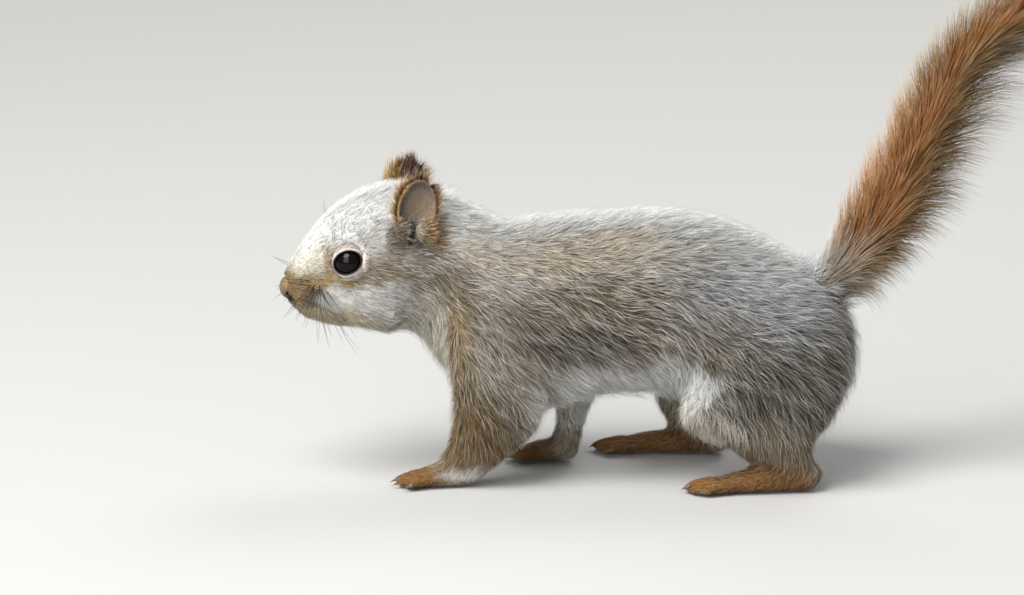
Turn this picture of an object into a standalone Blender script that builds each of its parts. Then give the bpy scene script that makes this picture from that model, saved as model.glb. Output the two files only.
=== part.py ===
"""A red squirrel at life size, standing on four feet with its tail raised behind it.

Blender 4.5, metres, +Z up. The squirrel faces -X with its left side towards -Y. The whole body is
modelled as overlapping rounded forms, out to the tips of its coat, and is fused into one closed
surface. Thin cuts then part it into head, neck, trunk, limbs and lengths of tail, each a named
object. Ears, eyes and the nose pad are shaped on their own and set into the head.
"""

import math

import bmesh
import bpy
from mathutils import Matrix, Vector

MM = 0.001

# How the animal stands
HEAD_YAW = math.radians(7.0)
HEAD_ROLL = math.radians(2.5)
HEAD_PIVOT = Vector((-52.0, 0.0, 70.0))
LEFT, RIGHT = -1, 1

# Sizes of the set-in parts, in millimetres
EYE_RADIUS = 4.9
EYE_PLACE = (-81.4, 11.6, 72.6)
EAR_PLACE = (-61.0, 16.6, 87.6)
EAR_HALF_LENGTH = 8.0
EAR_HALF_HEIGHT = 12.6
EAR_FRINGE = 1.4
NOSE_PLACE = (-101.0, 0.0, 63.4)
NOSE_RADII = (2.5, 3.2, 3.5)
TOE_RADIUS = 1.9
CLAW_LENGTH = 4.0
CLAW_RADIUS = 0.75

# How the forms are fused and parted
GAP = 0.35
BODY_VOXEL = 0.9
EAR_VOXEL = 0.5
BODY_TRIANGLES = 4800
EAR_TRIANGLES = 360
RING_SIDES = 32
STEPS = 5
ROUNDNESS = 2.15
FINE = math.radians(2.5)
BROAD = math.radians(6.5)
BROAD_FORMS = ("chest", "loin", "rump", "neck", "tail", "thigh", "upper_arm", "shank")
SMOOTH_WITHIN = math.radians(40)

COLOURS = {
    "white_coat": (0.72, 0.70, 0.66, 1.0),
    "grey_coat": (0.34, 0.30, 0.25, 1.0),
    "tan_coat": (0.33, 0.24, 0.15, 1.0),
    "rusty_coat": (0.42, 0.20, 0.08, 1.0),
    "dark_coat": (0.10, 0.06, 0.04, 1.0),
    "nose_skin": (0.22, 0.15, 0.11, 1.0),
    "eye": (0.01, 0.008, 0.006, 1.0),
}


def clear_scene():
    for thing in list(bpy.data.objects):
        bpy.data.objects.remove(thing, do_unlink=True)


def new_collection(name):
    made = bpy.data.collections.new(name)
    bpy.context.scene.collection.children.link(made)
    return made


def coat_material(name):
    made = bpy.data.materials.get(name)
    if made is None:
        made = bpy.data.materials.new(name)
        made.use_nodes = True
        shader = made.node_tree.nodes["Principled BSDF"]
        shader.inputs["Base Color"].default_value = COLOURS[name]
        shader.inputs["Roughness"].default_value = 0.08 if name == "eye" else 0.85
        shader.inputs["Metallic"].default_value = 0.0
        made.diffuse_color = COLOURS[name]
    return made


# Lofted forms


def smooth_rows(rows, steps=STEPS):
    """The rows with more between them, on a Catmull-Rom curve through each column."""
    filled = []
    for i in range(len(rows) - 1):
        around = [rows[max(i - 1, 0)], rows[i], rows[i + 1], rows[min(i + 2, len(rows) - 1)]]
        for step in range(steps):
            t = step / steps
            weights = (
                -0.5 * t + t * t - 0.5 * t**3,
                1 - 2.5 * t * t + 1.5 * t**3,
                0.5 * t + 2 * t * t - 1.5 * t**3,
                -0.5 * t * t + 0.5 * t**3,
            )
            columns = zip(*around)
            filled.append([sum(w * value for w, value in zip(weights, column)) for column in columns])
    filled.append(list(rows[-1]))
    return filled


def rounded(value):
    """Sine or cosine of an oval that is a little squarer than an ellipse."""
    return math.copysign(abs(value) ** (2 / ROUNDNESS), value)


def loft(name, rows, facing=None):
    """A closed form through rows of (x, y, z, half width, half height), with an oval ring at each.

    The rings face along the path of their centres, or all one way where a direction is given.
    """
    rows = smooth_rows(rows)
    centres = [Vector(row[:3]) for row in rows]
    form = bmesh.new()
    rings = []
    for i, row in enumerate(rows):
        ahead = centres[min(i + 1, len(rows) - 1)] - centres[max(i - 1, 0)]
        ahead = Vector(facing) if facing else ahead.normalized()
        across = (Vector((0, 1, 0)) - ahead * ahead.y).normalized()
        up = ahead.cross(across)
        ring = []
        for side in range(RING_SIDES):
            angle = math.tau * side / RING_SIDES
            sideways = across * max(row[3], 0.05) * rounded(math.cos(angle))
            upwards = up * max(row[4], 0.05) * rounded(math.sin(angle))
            ring.append(form.verts.new((centres[i] + sideways + upwards) * MM))
        rings.append(ring)
    for first, second in zip(rings, rings[1:]):
        for side in range(RING_SIDES):
            after = (side + 1) % RING_SIDES
            form.faces.new((first[side], first[after], second[after], second[side]))
    form.faces.new(rings[0])
    form.faces.new(rings[-1])
    bmesh.ops.recalc_face_normals(form, faces=form.faces)
    return object_from(name, form)


def profile_loft(name, rows):
    """A form from rows of (x, top, bottom, half width), with rings that stand upright."""
    upright = [(x, 0, (top + low) / 2, wide, (top - low) / 2) for x, top, low, wide in rows]
    return loft(name, upright, (1, 0, 0))


def limb(name, rows):
    """A form from rows of (x, y, z, half width, half length), with level rings."""
    return loft(name, rows, (0, 0, -1))


def ellipsoid(name, place, radii, turn=(0, 0, 0), segments=24, rings=16):
    form = bmesh.new()
    shape = Matrix.LocRotScale(Vector(place) * MM, euler(turn), Vector(radii) * MM)
    bmesh.ops.create_uvsphere(form, u_segments=segments, v_segments=rings, radius=1, matrix=shape)
    return object_from(name, form)


def cone(name, base, tip, radius, sides=6):
    """A cone from its base point to its tip."""
    form = bmesh.new()
    base, tip = Vector(base), Vector(tip)
    along = tip - base
    turn = along.to_track_quat("Z", "Y")
    place = Matrix.LocRotScale((base + along / 2) * MM, turn, None)
    bmesh.ops.create_cone(
        form,
        cap_ends=True,
        segments=sides,
        radius1=radius * MM,
        radius2=0.25 * radius * MM,
        depth=along.length * MM,
        matrix=place,
    )
    return object_from(name, form)


def euler(degrees):
    return Matrix.Rotation(math.radians(degrees[2]), 3, "Z").to_quaternion() @ (
        Matrix.Rotation(math.radians(degrees[1]), 3, "Y").to_quaternion()
        @ Matrix.Rotation(math.radians(degrees[0]), 3, "X").to_quaternion()
    )


def object_from(name, form):
    mesh = bpy.data.meshes.new(name)
    form.to_mesh(mesh)
    form.free()
    made = bpy.data.objects.new(name, mesh)
    forms.objects.link(made)
    return made


def head_turn():
    """The turn of the head to its left, about the neck, and its slight tilt to the right."""
    pivot = HEAD_PIVOT * MM
    turn = Matrix.Rotation(HEAD_YAW, 4, "Z") @ Matrix.Rotation(-HEAD_ROLL, 4, "X")
    return Matrix.Translation(pivot) @ turn @ Matrix.Translation(-pivot)


def turned_head(pieces):
    for piece in pieces:
        piece.data.transform(head_turn())
    return pieces


# The forms of the body, in millimetres


def head_forms():
    """The skull's own profile, with a cheek, a whisker pad and a brow on each side."""
    skull = profile_loft(
        "skull",
        (
            # x, top, bottom, half width
            (-102.6, 66.4, 61.4, 1.6),
            (-101.2, 68.6, 58.8, 4.3),
            (-98.6, 72.0, 56.2, 5.9),
            (-95.2, 77.6, 52.6, 7.8),
            (-90.4, 83.7, 50.8, 10.4),
            (-86.0, 87.9, 49.6, 12.8),
            (-81.4, 91.0, 48.8, 14.9),
            (-75.6, 93.8, 48.0, 16.6),
            (-68.4, 96.2, 47.0, 17.6),
            (-61.0, 96.8, 46.4, 17.8),
            (-53.0, 94.6, 46.0, 16.6),
            (-46.0, 90.0, 50.0, 13.0),
        ),
    )
    pieces = [skull]
    for side in (LEFT, RIGHT):
        pieces.append(ellipsoid("cheek", (-72.5, side * 10.5, 60.0), (13.0, 7.6, 11.0)))
        pieces.append(ellipsoid("pad", (-94.0, side * 4.2, 59.4), (6.4, 4.0, 4.8), (0, 20, 0)))
        pieces.append(ellipsoid("brow", (-80.0, side * 9.6, 79.4), (8.6, 4.8, 4.6), (0, -32, 0)))
    return turned_head(pieces)


def trunk_form():
    """Nape, back and rump above, and throat, chest and belly fringe below."""
    return profile_loft(
        "trunk",
        (
            # x, top, bottom, half width
            (-62.0, 92.0, 50.0, 13.0),
            (-56.0, 94.8, 41.6, 16.4),
            (-50.0, 93.8, 33.6, 18.4),
            (-42.0, 89.4, 24.6, 20.4),
            (-34.0, 84.8, 20.4, 22.2),
            (-24.0, 84.6, 19.4, 23.8),
            (-12.0, 86.0, 21.6, 25.0),
            (0.0, 86.6, 24.6, 26.0),
            (12.0, 87.2, 26.0, 27.0),
            (24.0, 86.6, 25.4, 27.6),
            (36.0, 84.4, 23.0, 27.8),
            (48.0, 80.0, 20.6, 27.4),
            (58.0, 74.2, 19.0, 26.0),
            (68.0, 68.6, 19.0, 23.0),
            (76.0, 64.4, 22.0, 18.4),
            (82.0, 58.4, 29.0, 12.0),
            (84.6, 51.0, 39.0, 5.0),
        ),
    )


def tail_form():
    """The tail with its brush of hair. It leans back as it rises, and its end arches away."""
    rows = (
        # x, y, z, half width, half height
        (70.0, 0.0, 56.0, 10.0, 9.0),
        (76.0, 0.0, 61.4, 10.4, 10.6),
        (82.8, 0.4, 70.4, 11.4, 12.4),
        (92.0, 1.0, 83.4, 13.6, 16.6),
        (100.2, 1.6, 95.8, 15.4, 19.8),
        (106.4, 2.2, 108.0, 16.2, 20.8),
        (112.4, 2.8, 118.6, 16.6, 21.8),
        (120.0, 3.4, 129.2, 16.8, 23.2),
        (130.0, 4.0, 139.6, 16.6, 24.0),
        (142.0, 4.6, 148.8, 15.6, 22.6),
        (154.0, 5.2, 156.4, 13.8, 19.2),
        (165.0, 5.6, 162.8, 11.0, 14.4),
        (174.6, 5.8, 168.4, 7.0, 8.8),
        (181.6, 6.0, 172.4, 1.6, 1.8),
    )
    return loft("tail", rows)


def shoulder_forms():
    """The near foreleg stands forward, and the far one reaches back under the chest."""
    near = (
        # x, y, z, half width, half length
        (-33.0, -11.0, 68.0, 8.0, 9.0),
        (-35.0, -14.6, 60.0, 9.4, 14.5),
        (-34.0, -17.2, 49.0, 9.6, 16.8),
        (-32.6, -18.6, 38.0, 9.2, 16.8),
        (-31.8, -18.8, 30.0, 8.6, 16.4),
        (-33.2, -18.4, 20.0, 7.4, 14.8),
        (-37.0, -17.8, 13.0, 6.6, 12.8),
        (-41.6, -17.0, 7.6, 5.6, 10.8),
        (-44.6, -16.4, 3.6, 5.0, 9.2),
        (-46.0, -16.0, 1.2, 4.4, 7.8),
    )
    far = (
        (-33.0, 11.0, 68.0, 8.0, 9.0),
        (-32.0, 15.0, 60.0, 9.4, 14.5),
        (-27.0, 17.2, 49.0, 9.6, 15.0),
        (-18.0, 17.6, 38.4, 9.0, 13.6),
        (-10.0, 16.4, 30.0, 8.0, 10.6),
        (-8.0, 15.0, 21.0, 6.6, 7.4),
        (-9.2, 14.0, 12.4, 5.2, 5.4),
        (-10.6, 13.4, 6.4, 4.6, 5.0),
        (-11.6, 13.0, 2.0, 4.2, 4.8),
    )
    return [limb("near_foreleg", near), limb("far_foreleg", far)]


def haunch_forms():
    """The hind legs, with broad thighs. The far foot stands further forward."""
    near = (
        # x, y, z, half width, half length
        (61.0, -11.0, 61.0, 8.0, 10.0),
        (60.0, -15.6, 56.0, 10.6, 17.0),
        (57.6, -20.0, 46.0, 12.2, 23.6),
        (53.6, -22.2, 35.0, 12.0, 27.0),
        (49.8, -22.6, 26.4, 11.0, 27.0),
        (50.2, -22.8, 19.6, 9.4, 21.6),
        (54.4, -22.8, 14.0, 7.8, 14.0),
        (58.6, -22.6, 9.0, 6.4, 11.0),
        (61.0, -22.4, 4.5, 5.2, 9.4),
        (62.0, -22.2, 1.6, 4.6, 8.4),
    )
    far = (
        (57.0, 11.0, 61.0, 8.0, 10.0),
        (54.0, 15.6, 56.0, 10.6, 16.4),
        (49.0, 20.0, 46.0, 12.0, 21.0),
        (40.6, 22.2, 35.0, 11.6, 20.6),
        (33.4, 23.0, 25.4, 10.0, 17.0),
        (31.4, 23.2, 17.0, 8.0, 13.4),
        (32.4, 23.0, 9.6, 6.2, 10.0),
        (34.0, 22.8, 4.5, 5.2, 8.6),
        (35.0, 22.6, 1.6, 4.6, 7.6),
    )
    return [limb("near_haunch", near), limb("far_haunch", far)]


def foot_forms(heel, length, width, toes, toe_share, turn):
    """A foot that lies flat, from its heel towards -X, with toes and claws fanned across its front."""
    x, y = heel
    toe_length = length * toe_share
    sole = loft(
        "sole",
        (
            (0, 0, 3.4, 2.0, 3.2),
            (-3.0, 0, 4.4, width * 0.46, 4.6),
            (-(length - toe_length) * 0.55, 0, 4.0, width * 0.5, 4.2),
            (-(length - toe_length), 0, 3.2, width * 0.54, 3.4),
            (-(length - toe_length) - 3.5, 0, 2.2, width * 0.44, 2.2),
        ),
    )
    pieces = [sole]
    middle = (toes - 1) / 2
    for toe in range(toes):
        aside = (toe - middle) / middle
        reach = toe_length * (1 - 0.34 * abs(aside) ** 1.6)
        start = -(length - toe_length) + 2.5
        root_y = aside * (width / 2 - TOE_RADIUS + 0.6)
        tip_y = aside * (width / 2 + 0.9)
        tip_x = -(length - toe_length) - reach
        pieces.append(
            loft(
                "toe",
                (
                    (start, root_y, 3.0, 0.8, 0.8),
                    (start - 2.0, root_y, 3.0, TOE_RADIUS, 2.0),
                    ((start + tip_x) / 2, (root_y + tip_y) / 2, 3.0, TOE_RADIUS * 0.92, 2.1),
                    (tip_x + 1.6, tip_y, 1.9, TOE_RADIUS * 0.86, 1.8),
                    (tip_x, tip_y, 1.5, 0.8, 0.8),
                ),
            )
        )
        claw_root = (tip_x + 1.0, tip_y, 2.4)
        claw_tip = (tip_x + 1.0 - CLAW_LENGTH, tip_y, 1.0)
        pieces.append(cone("claw", claw_root, claw_tip, CLAW_RADIUS))
    place = Matrix.Translation(Vector((x, y, 0)) * MM) @ Matrix.Rotation(math.radians(turn), 4, "Z")
    for piece in pieces:
        piece.data.transform(place)
    return pieces


def all_feet():
    return [
        *foot_forms((-39.5, -16.2), 27.0, 10.5, 4, 0.42, 4),
        *foot_forms((-6.0, 13.0), 25.0, 10.5, 4, 0.42, -4),
        *foot_forms((71.0, -22.0), 45.0, 11.5, 5, 0.36, 5),
        *foot_forms((42.0, 22.8), 45.0, 11.5, 5, 0.36, -5),
    ]


# Fusing and parting


def apply_all(thing):
    bpy.ops.object.select_all(action="DESELECT")
    bpy.context.view_layer.objects.active = thing
    thing.select_set(True)
    for modifier in list(thing.modifiers):
        bpy.ops.object.modifier_apply(modifier=modifier.name)


def fused(name, pieces, voxel, triangles, smoothing):
    """The pieces as one closed surface, smoothed, with about this many triangles."""
    bpy.ops.object.select_all(action="DESELECT")
    for piece in pieces:
        piece.select_set(True)
    bpy.context.view_layer.objects.active = pieces[0]
    bpy.ops.object.join()
    whole = bpy.context.view_layer.objects.active
    whole.name = name
    remesh = whole.modifiers.new("fuse", "REMESH")
    remesh.mode = "VOXEL"
    remesh.voxel_size = voxel * MM
    smooth = whole.modifiers.new("soften", "SMOOTH")
    smooth.factor = 0.5
    smooth.iterations = smoothing
    apply_all(whole)
    keep_largest(whole)
    thin = whole.modifiers.new("thin", "DECIMATE")
    thin.ratio = min(1.0, triangles / (2 * len(whole.data.polygons)))
    apply_all(whole)
    return whole


def keep_largest(thing):
    """Deletes all but the largest connected piece of a mesh."""
    form = bmesh.new()
    form.from_mesh(thing.data)
    left, islands = set(form.verts), []
    while left:
        stack, island = [left.pop()], []
        while stack:
            vert = stack.pop()
            island.append(vert)
            for edge in vert.link_edges:
                other = edge.other_vert(vert)
                if other in left:
                    left.remove(other)
                    stack.append(other)
        islands.append(island)
    islands.sort(key=len, reverse=True)
    for island in islands[1:]:
        bmesh.ops.delete(form, geom=island, context="VERTS")
    form.to_mesh(thing.data)
    form.free()


def boolean(thing, cutter, operation):
    cut = thing.modifiers.new(operation.lower(), "BOOLEAN")
    cut.object = cutter
    cut.operation = operation
    cut.solver = "EXACT"
    apply_all(thing)


def copy_of(thing, name):
    made = thing.copy()
    made.data = thing.data.copy()
    made.name = name
    forms.objects.link(made)
    return made


def remove(thing):
    bpy.data.objects.remove(thing, do_unlink=True)


def grown(thing, by):
    """A copy swollen along its normals."""
    made = copy_of(thing, thing.name + "_grown")
    normals = [vertex.normal.copy() for vertex in made.data.vertices]
    for vertex, normal in zip(made.data.vertices, normals):
        vertex.co += normal * by * MM
    return made


def block(low, high):
    """A cutting block between two corners."""
    form = bmesh.new()
    size = Vector(high) - Vector(low)
    centre = Vector(low) + size / 2
    place = Matrix.LocRotScale(centre * MM, None, size * MM)
    bmesh.ops.create_cube(form, size=1, matrix=place)
    return object_from("cell", form)


def beyond(point, normal, reach=260.0):
    """A cutting block that holds all that lies past a plane."""
    form = bmesh.new()
    turn = Vector(normal).to_track_quat("Z", "Y")
    centre = Vector(point) + Vector(normal).normalized() * reach / 2
    place = Matrix.LocRotScale(centre * MM, turn, Vector((reach, reach, reach)) * MM)
    bmesh.ops.create_cube(form, size=1, matrix=place)
    return object_from("cell", form)


def disc(place, radii, side, reach=40.0, sides=14):
    """A cutting prism about a limb's root: its axis is along Y, and it starts at the place's y."""
    form = bmesh.new()
    x, y, z = place
    turn = Matrix.Rotation(math.radians(90), 4, "X")
    centre = Vector((x, y + side * reach / 2, z))
    size = Matrix.Diagonal((radii[0], 1, radii[1], 1))
    matrix = Matrix.Translation(centre * MM) @ size @ turn
    bmesh.ops.create_cone(
        form,
        cap_ends=True,
        segments=sides,
        radius1=MM,
        radius2=MM,
        depth=reach * MM,
        matrix=matrix,
    )
    return object_from("cell", form)


def part_off(whole, name, cell, colour):
    """Takes what lies in the cell off the whole, with a thin gap, as an object of its own."""
    piece = copy_of(whole, name)
    boolean(piece, cell, "INTERSECT")
    keep_largest(piece)
    wider = grown_cell(cell)
    boolean(whole, wider, "DIFFERENCE")
    keep_largest(whole)
    remove(wider)
    remove(cell)
    finish(piece, colour)
    return piece


def grown_cell(cell):
    """A copy of a convex cutting block with each of its faces moved out by the gap."""
    made = copy_of(cell, "wider_cell")
    form = bmesh.new()
    form.from_mesh(made.data)
    form.normal_update()
    shifts = {vert: sum((face.normal for face in vert.link_faces), Vector()) for vert in form.verts}
    for vert, shift in shifts.items():
        # Three faces or a rim of sides and one cap meet here: each face moves by the gap.
        along = max(shift.normalized().dot(face.normal) for face in vert.link_faces)
        least = min(shift.normalized().dot(face.normal) for face in vert.link_faces)
        vert.co += shift.normalized() * GAP * MM / max((along + least) / 2, 0.3)
    form.to_mesh(made.data)
    form.free()
    return made


def flatten_facets(piece):
    """Merges facets that lie in nearly one plane, such as those a cut has split."""
    limit = BROAD if piece.name.startswith(BROAD_FORMS) else FINE
    form = bmesh.new()
    form.from_mesh(piece.data)
    bmesh.ops.dissolve_limit(form, angle_limit=limit, verts=form.verts, edges=form.edges)
    bmesh.ops.triangulate(form, faces=form.faces)
    form.to_mesh(piece.data)
    form.free()


def finish(piece, colour):
    flatten_facets(piece)
    piece.data.materials.clear()
    piece.data.materials.append(coat_material(colour))
    forms.objects.unlink(piece)
    squirrel.objects.link(piece)


def set_in(whole, piece, name, colour):
    """Cuts room for a piece out of the whole, and keeps the piece as an object."""
    wider = grown(piece, GAP)
    boolean(whole, wider, "DIFFERENCE")
    keep_largest(whole)
    remove(wider)
    piece.name = name
    finish(piece, colour)


def make_body():
    pieces = [
        *head_forms(),
        trunk_form(),
        tail_form(),
        *shoulder_forms(),
        *haunch_forms(),
        *all_feet(),
    ]
    whole = fused("body", pieces, BODY_VOXEL, BODY_TRIANGLES, smoothing=3)
    boolean(whole, block((-200, -100, -40), (250, 100, 0)), "DIFFERENCE")
    keep_largest(whole)
    return whole


def make_eyes(whole):
    x, y, z = EYE_PLACE
    for side, name in ((LEFT, "eye_left"), (RIGHT, "eye_right")):
        ball = ellipsoid(name, (x, side * y, z), (EYE_RADIUS,) * 3, (90, 0, 0), segments=16, rings=9)
        turned_head([ball])
        set_in(whole, ball, name, "eye")


def make_nose(whole):
    pad = ellipsoid("nose", NOSE_PLACE, NOSE_RADII, (0, 12, 0), segments=12, rings=8)
    turned_head([pad])
    set_in(whole, pad, "nose", "nose_skin")


def make_ears(whole):
    """Cupped ears, each open to its own side, with a fringe on top.

    The skull is cut out of their bases.
    """
    x, y, z = EAR_PLACE
    around = grown(whole, GAP)
    cup_radii = (EAR_HALF_LENGTH, 4.2, EAR_HALF_HEIGHT)
    back_radii = (EAR_HALF_LENGTH + 0.8, 4.8, 8.6)
    fringe_radii = (3.8, 1.6, EAR_HALF_HEIGHT)
    room = (EAR_HALF_LENGTH - 1.5, 4.6, EAR_HALF_HEIGHT - 3.2)
    for side, name in ((LEFT, "ear_left"), (RIGHT, "ear_right")):
        tilt = (side * -5, 6, side * -12)
        cup = ellipsoid("cup", (x, side * y, z), cup_radii, tilt)
        back = ellipsoid("back", (x + 1.8, side * (y - 2.0), z - 3.6), back_radii, tilt)
        fringe = ellipsoid("fringe", (x - 0.6, side * (y + 1.0), z + EAR_FRINGE), fringe_radii, tilt)
        ear = fused(name, [cup, back, fringe], EAR_VOXEL, EAR_TRIANGLES, smoothing=2)
        opening = (x + 0.2, side * (y + 3.3), z + 2.0)
        hollow = ellipsoid("hollow", opening, room, tilt, segments=14, rings=8)
        boolean(ear, hollow, "DIFFERENCE")
        remove(hollow)
        turned_head([ear])
        boolean(ear, around, "DIFFERENCE")
        keep_largest(ear)
        finish(ear, "dark_coat")
    remove(around)


def part_tail(whole):
    """Five lengths of tail, cut square to its path from the tip down."""
    cuts = (
        ("tail_tip", (150.0, 5.0, 154.0), (0.84, 0, 0.54)),
        ("tail_upper", (126.0, 3.6, 136.0), (0.72, 0, 0.69)),
        ("tail_middle", (108.0, 2.4, 111.6), (0.52, 0, 0.85)),
        ("tail_lower", (94.0, 1.2, 86.6), (0.55, 0, 0.83)),
        ("tail_root", (79.0, 0.0, 64.6), (0.62, 0, 0.78)),
    )
    for name, point, normal in cuts:
        part_off(whole, name, beyond(point, normal), "rusty_coat")


def part_feet(whole):
    part_off(whole, "forefoot_left", block((-90, -32, -9), (-32, -4, 7.5)), "rusty_coat")
    part_off(whole, "forefoot_right", block((-50, 2, -9), (-2, 26, 7.5)), "rusty_coat")
    part_off(whole, "hindfoot_left", block((10, -40, -9), (90, -8, 7.5)), "rusty_coat")
    part_off(whole, "hindfoot_right", block((-30, 8, -9), (60, 40, 7.5)), "rusty_coat")


def part_limbs(whole):
    part_off(whole, "shank_left", block((20, -50, -5), (100, -12.5, 20)), "grey_coat")
    part_off(whole, "shank_right", block((5, 12.5, -5), (70, 50, 20)), "grey_coat")
    part_off(whole, "thigh_left", disc((58, -13.5, 38), (27, 27), LEFT), "grey_coat")
    part_off(whole, "thigh_right", disc((47, 13.5, 40), (26, 26), RIGHT), "grey_coat")
    part_off(whole, "forearm_left", block((-70, -50, -5), (0, -9.5, 23.5)), "tan_coat")
    part_off(whole, "forearm_right", block((-22, 8.5, -5), (6, 50, 23.5)), "tan_coat")
    part_off(whole, "upper_arm_left", disc((-34, -12.5, 42), (17.5, 20), LEFT), "tan_coat")
    part_off(whole, "upper_arm_right", disc((-24, 12.5, 42), (17.5, 20), RIGHT), "tan_coat")


def part_trunk(whole):
    part_off(whole, "muzzle", beyond((-88.4, 0, 70), (-0.93, -0.14, -0.34)), "tan_coat")
    part_off(whole, "head", beyond((-57, 0, 70), (-0.97, -0.08, 0.22)), "white_coat")
    part_off(whole, "neck", beyond((-44, 0, 60), (-0.90, 0, 0.44)), "white_coat")
    part_off(whole, "chest", beyond((-8, 0, 50), (-1, 0, 0)), "grey_coat")
    part_off(whole, "loin", beyond((32, 0, 50), (-1, 0, 0)), "grey_coat")
    whole.name = "rump"
    finish(whole, "grey_coat")


def stand_over_origin():
    """Moves every part so that the middle of the whole box, at floor level, is the origin."""
    corners = [vertex.co for part in squirrel.objects for vertex in part.data.vertices]
    low = Vector(map(min, zip(*corners)))
    high = Vector(map(max, zip(*corners)))
    shift = Matrix.Translation(Vector((-(low.x + high.x) / 2, -(low.y + high.y) / 2, -low.z)))
    for part in squirrel.objects:
        part.data.transform(shift)
        part.data.shade_smooth()
        part.data.set_sharp_from_angle(angle=SMOOTH_WITHIN)


clear_scene()
squirrel = new_collection("squirrel")
forms = new_collection("forms")
body = make_body()
make_eyes(body)
make_nose(body)
make_ears(body)
part_tail(body)
part_feet(body)
part_limbs(body)
part_trunk(body)
stand_over_origin()
for leftover in list(forms.objects):
    remove(leftover)
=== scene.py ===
"""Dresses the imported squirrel: one skin, a coat of solid tufts, eyes, nose, claws and whiskers.

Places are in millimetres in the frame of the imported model, and are worked out from its nodes' boxes.
The squirrel faces -X, its left side is towards -Y and +Z is up.
"""

import math

import bpy
import numpy as np
from bpy.props import FloatProperty, FloatVectorProperty, IntProperty, PointerProperty
from bpy.types import Operator, Panel, PropertyGroup
from mathutils import Matrix, Vector
from mathutils.bvhtree import BVHTree
from mathutils.kdtree import KDTree


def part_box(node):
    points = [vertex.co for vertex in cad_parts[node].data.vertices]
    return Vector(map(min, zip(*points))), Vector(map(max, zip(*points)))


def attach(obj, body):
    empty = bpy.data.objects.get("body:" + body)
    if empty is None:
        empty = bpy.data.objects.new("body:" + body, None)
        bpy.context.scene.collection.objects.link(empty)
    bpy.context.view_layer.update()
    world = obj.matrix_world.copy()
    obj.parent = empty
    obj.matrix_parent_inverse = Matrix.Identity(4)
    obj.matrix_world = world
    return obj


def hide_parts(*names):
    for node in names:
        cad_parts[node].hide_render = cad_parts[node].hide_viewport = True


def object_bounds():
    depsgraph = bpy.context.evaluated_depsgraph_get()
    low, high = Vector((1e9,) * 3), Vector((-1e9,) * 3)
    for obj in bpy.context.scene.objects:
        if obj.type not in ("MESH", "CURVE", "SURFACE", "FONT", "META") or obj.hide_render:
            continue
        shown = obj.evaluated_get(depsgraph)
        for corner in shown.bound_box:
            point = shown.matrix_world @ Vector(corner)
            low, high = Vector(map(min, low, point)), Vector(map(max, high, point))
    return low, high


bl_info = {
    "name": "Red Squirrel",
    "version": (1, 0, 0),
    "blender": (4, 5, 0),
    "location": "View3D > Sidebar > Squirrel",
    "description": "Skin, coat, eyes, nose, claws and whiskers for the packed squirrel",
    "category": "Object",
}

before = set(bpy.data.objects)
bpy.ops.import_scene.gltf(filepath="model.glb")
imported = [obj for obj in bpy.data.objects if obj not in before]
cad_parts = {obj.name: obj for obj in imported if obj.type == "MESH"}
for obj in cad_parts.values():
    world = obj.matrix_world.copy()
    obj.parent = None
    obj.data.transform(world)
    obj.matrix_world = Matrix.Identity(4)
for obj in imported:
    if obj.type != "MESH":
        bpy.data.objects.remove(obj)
CAD_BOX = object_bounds()

MM = 0.001
LEFT, RIGHT = -1, 1
# The forms that the skin is joined from. A point that isn't marked belongs to the body's.
BODY_FORM, LID, EAR, LOBE = range(4)
SIDES = {LEFT: "left", RIGHT: "right"}
EYES = ("eye_left", "eye_right")
EARS = ("ear_left", "ear_right")
TAIL = ("tail_root", "tail_lower", "tail_middle", "tail_upper", "tail_tip")
FLESH = [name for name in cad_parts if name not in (*EYES, "nose")]
BODY = [name for name in FLESH if name not in (*EARS, *TAIL)]

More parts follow.
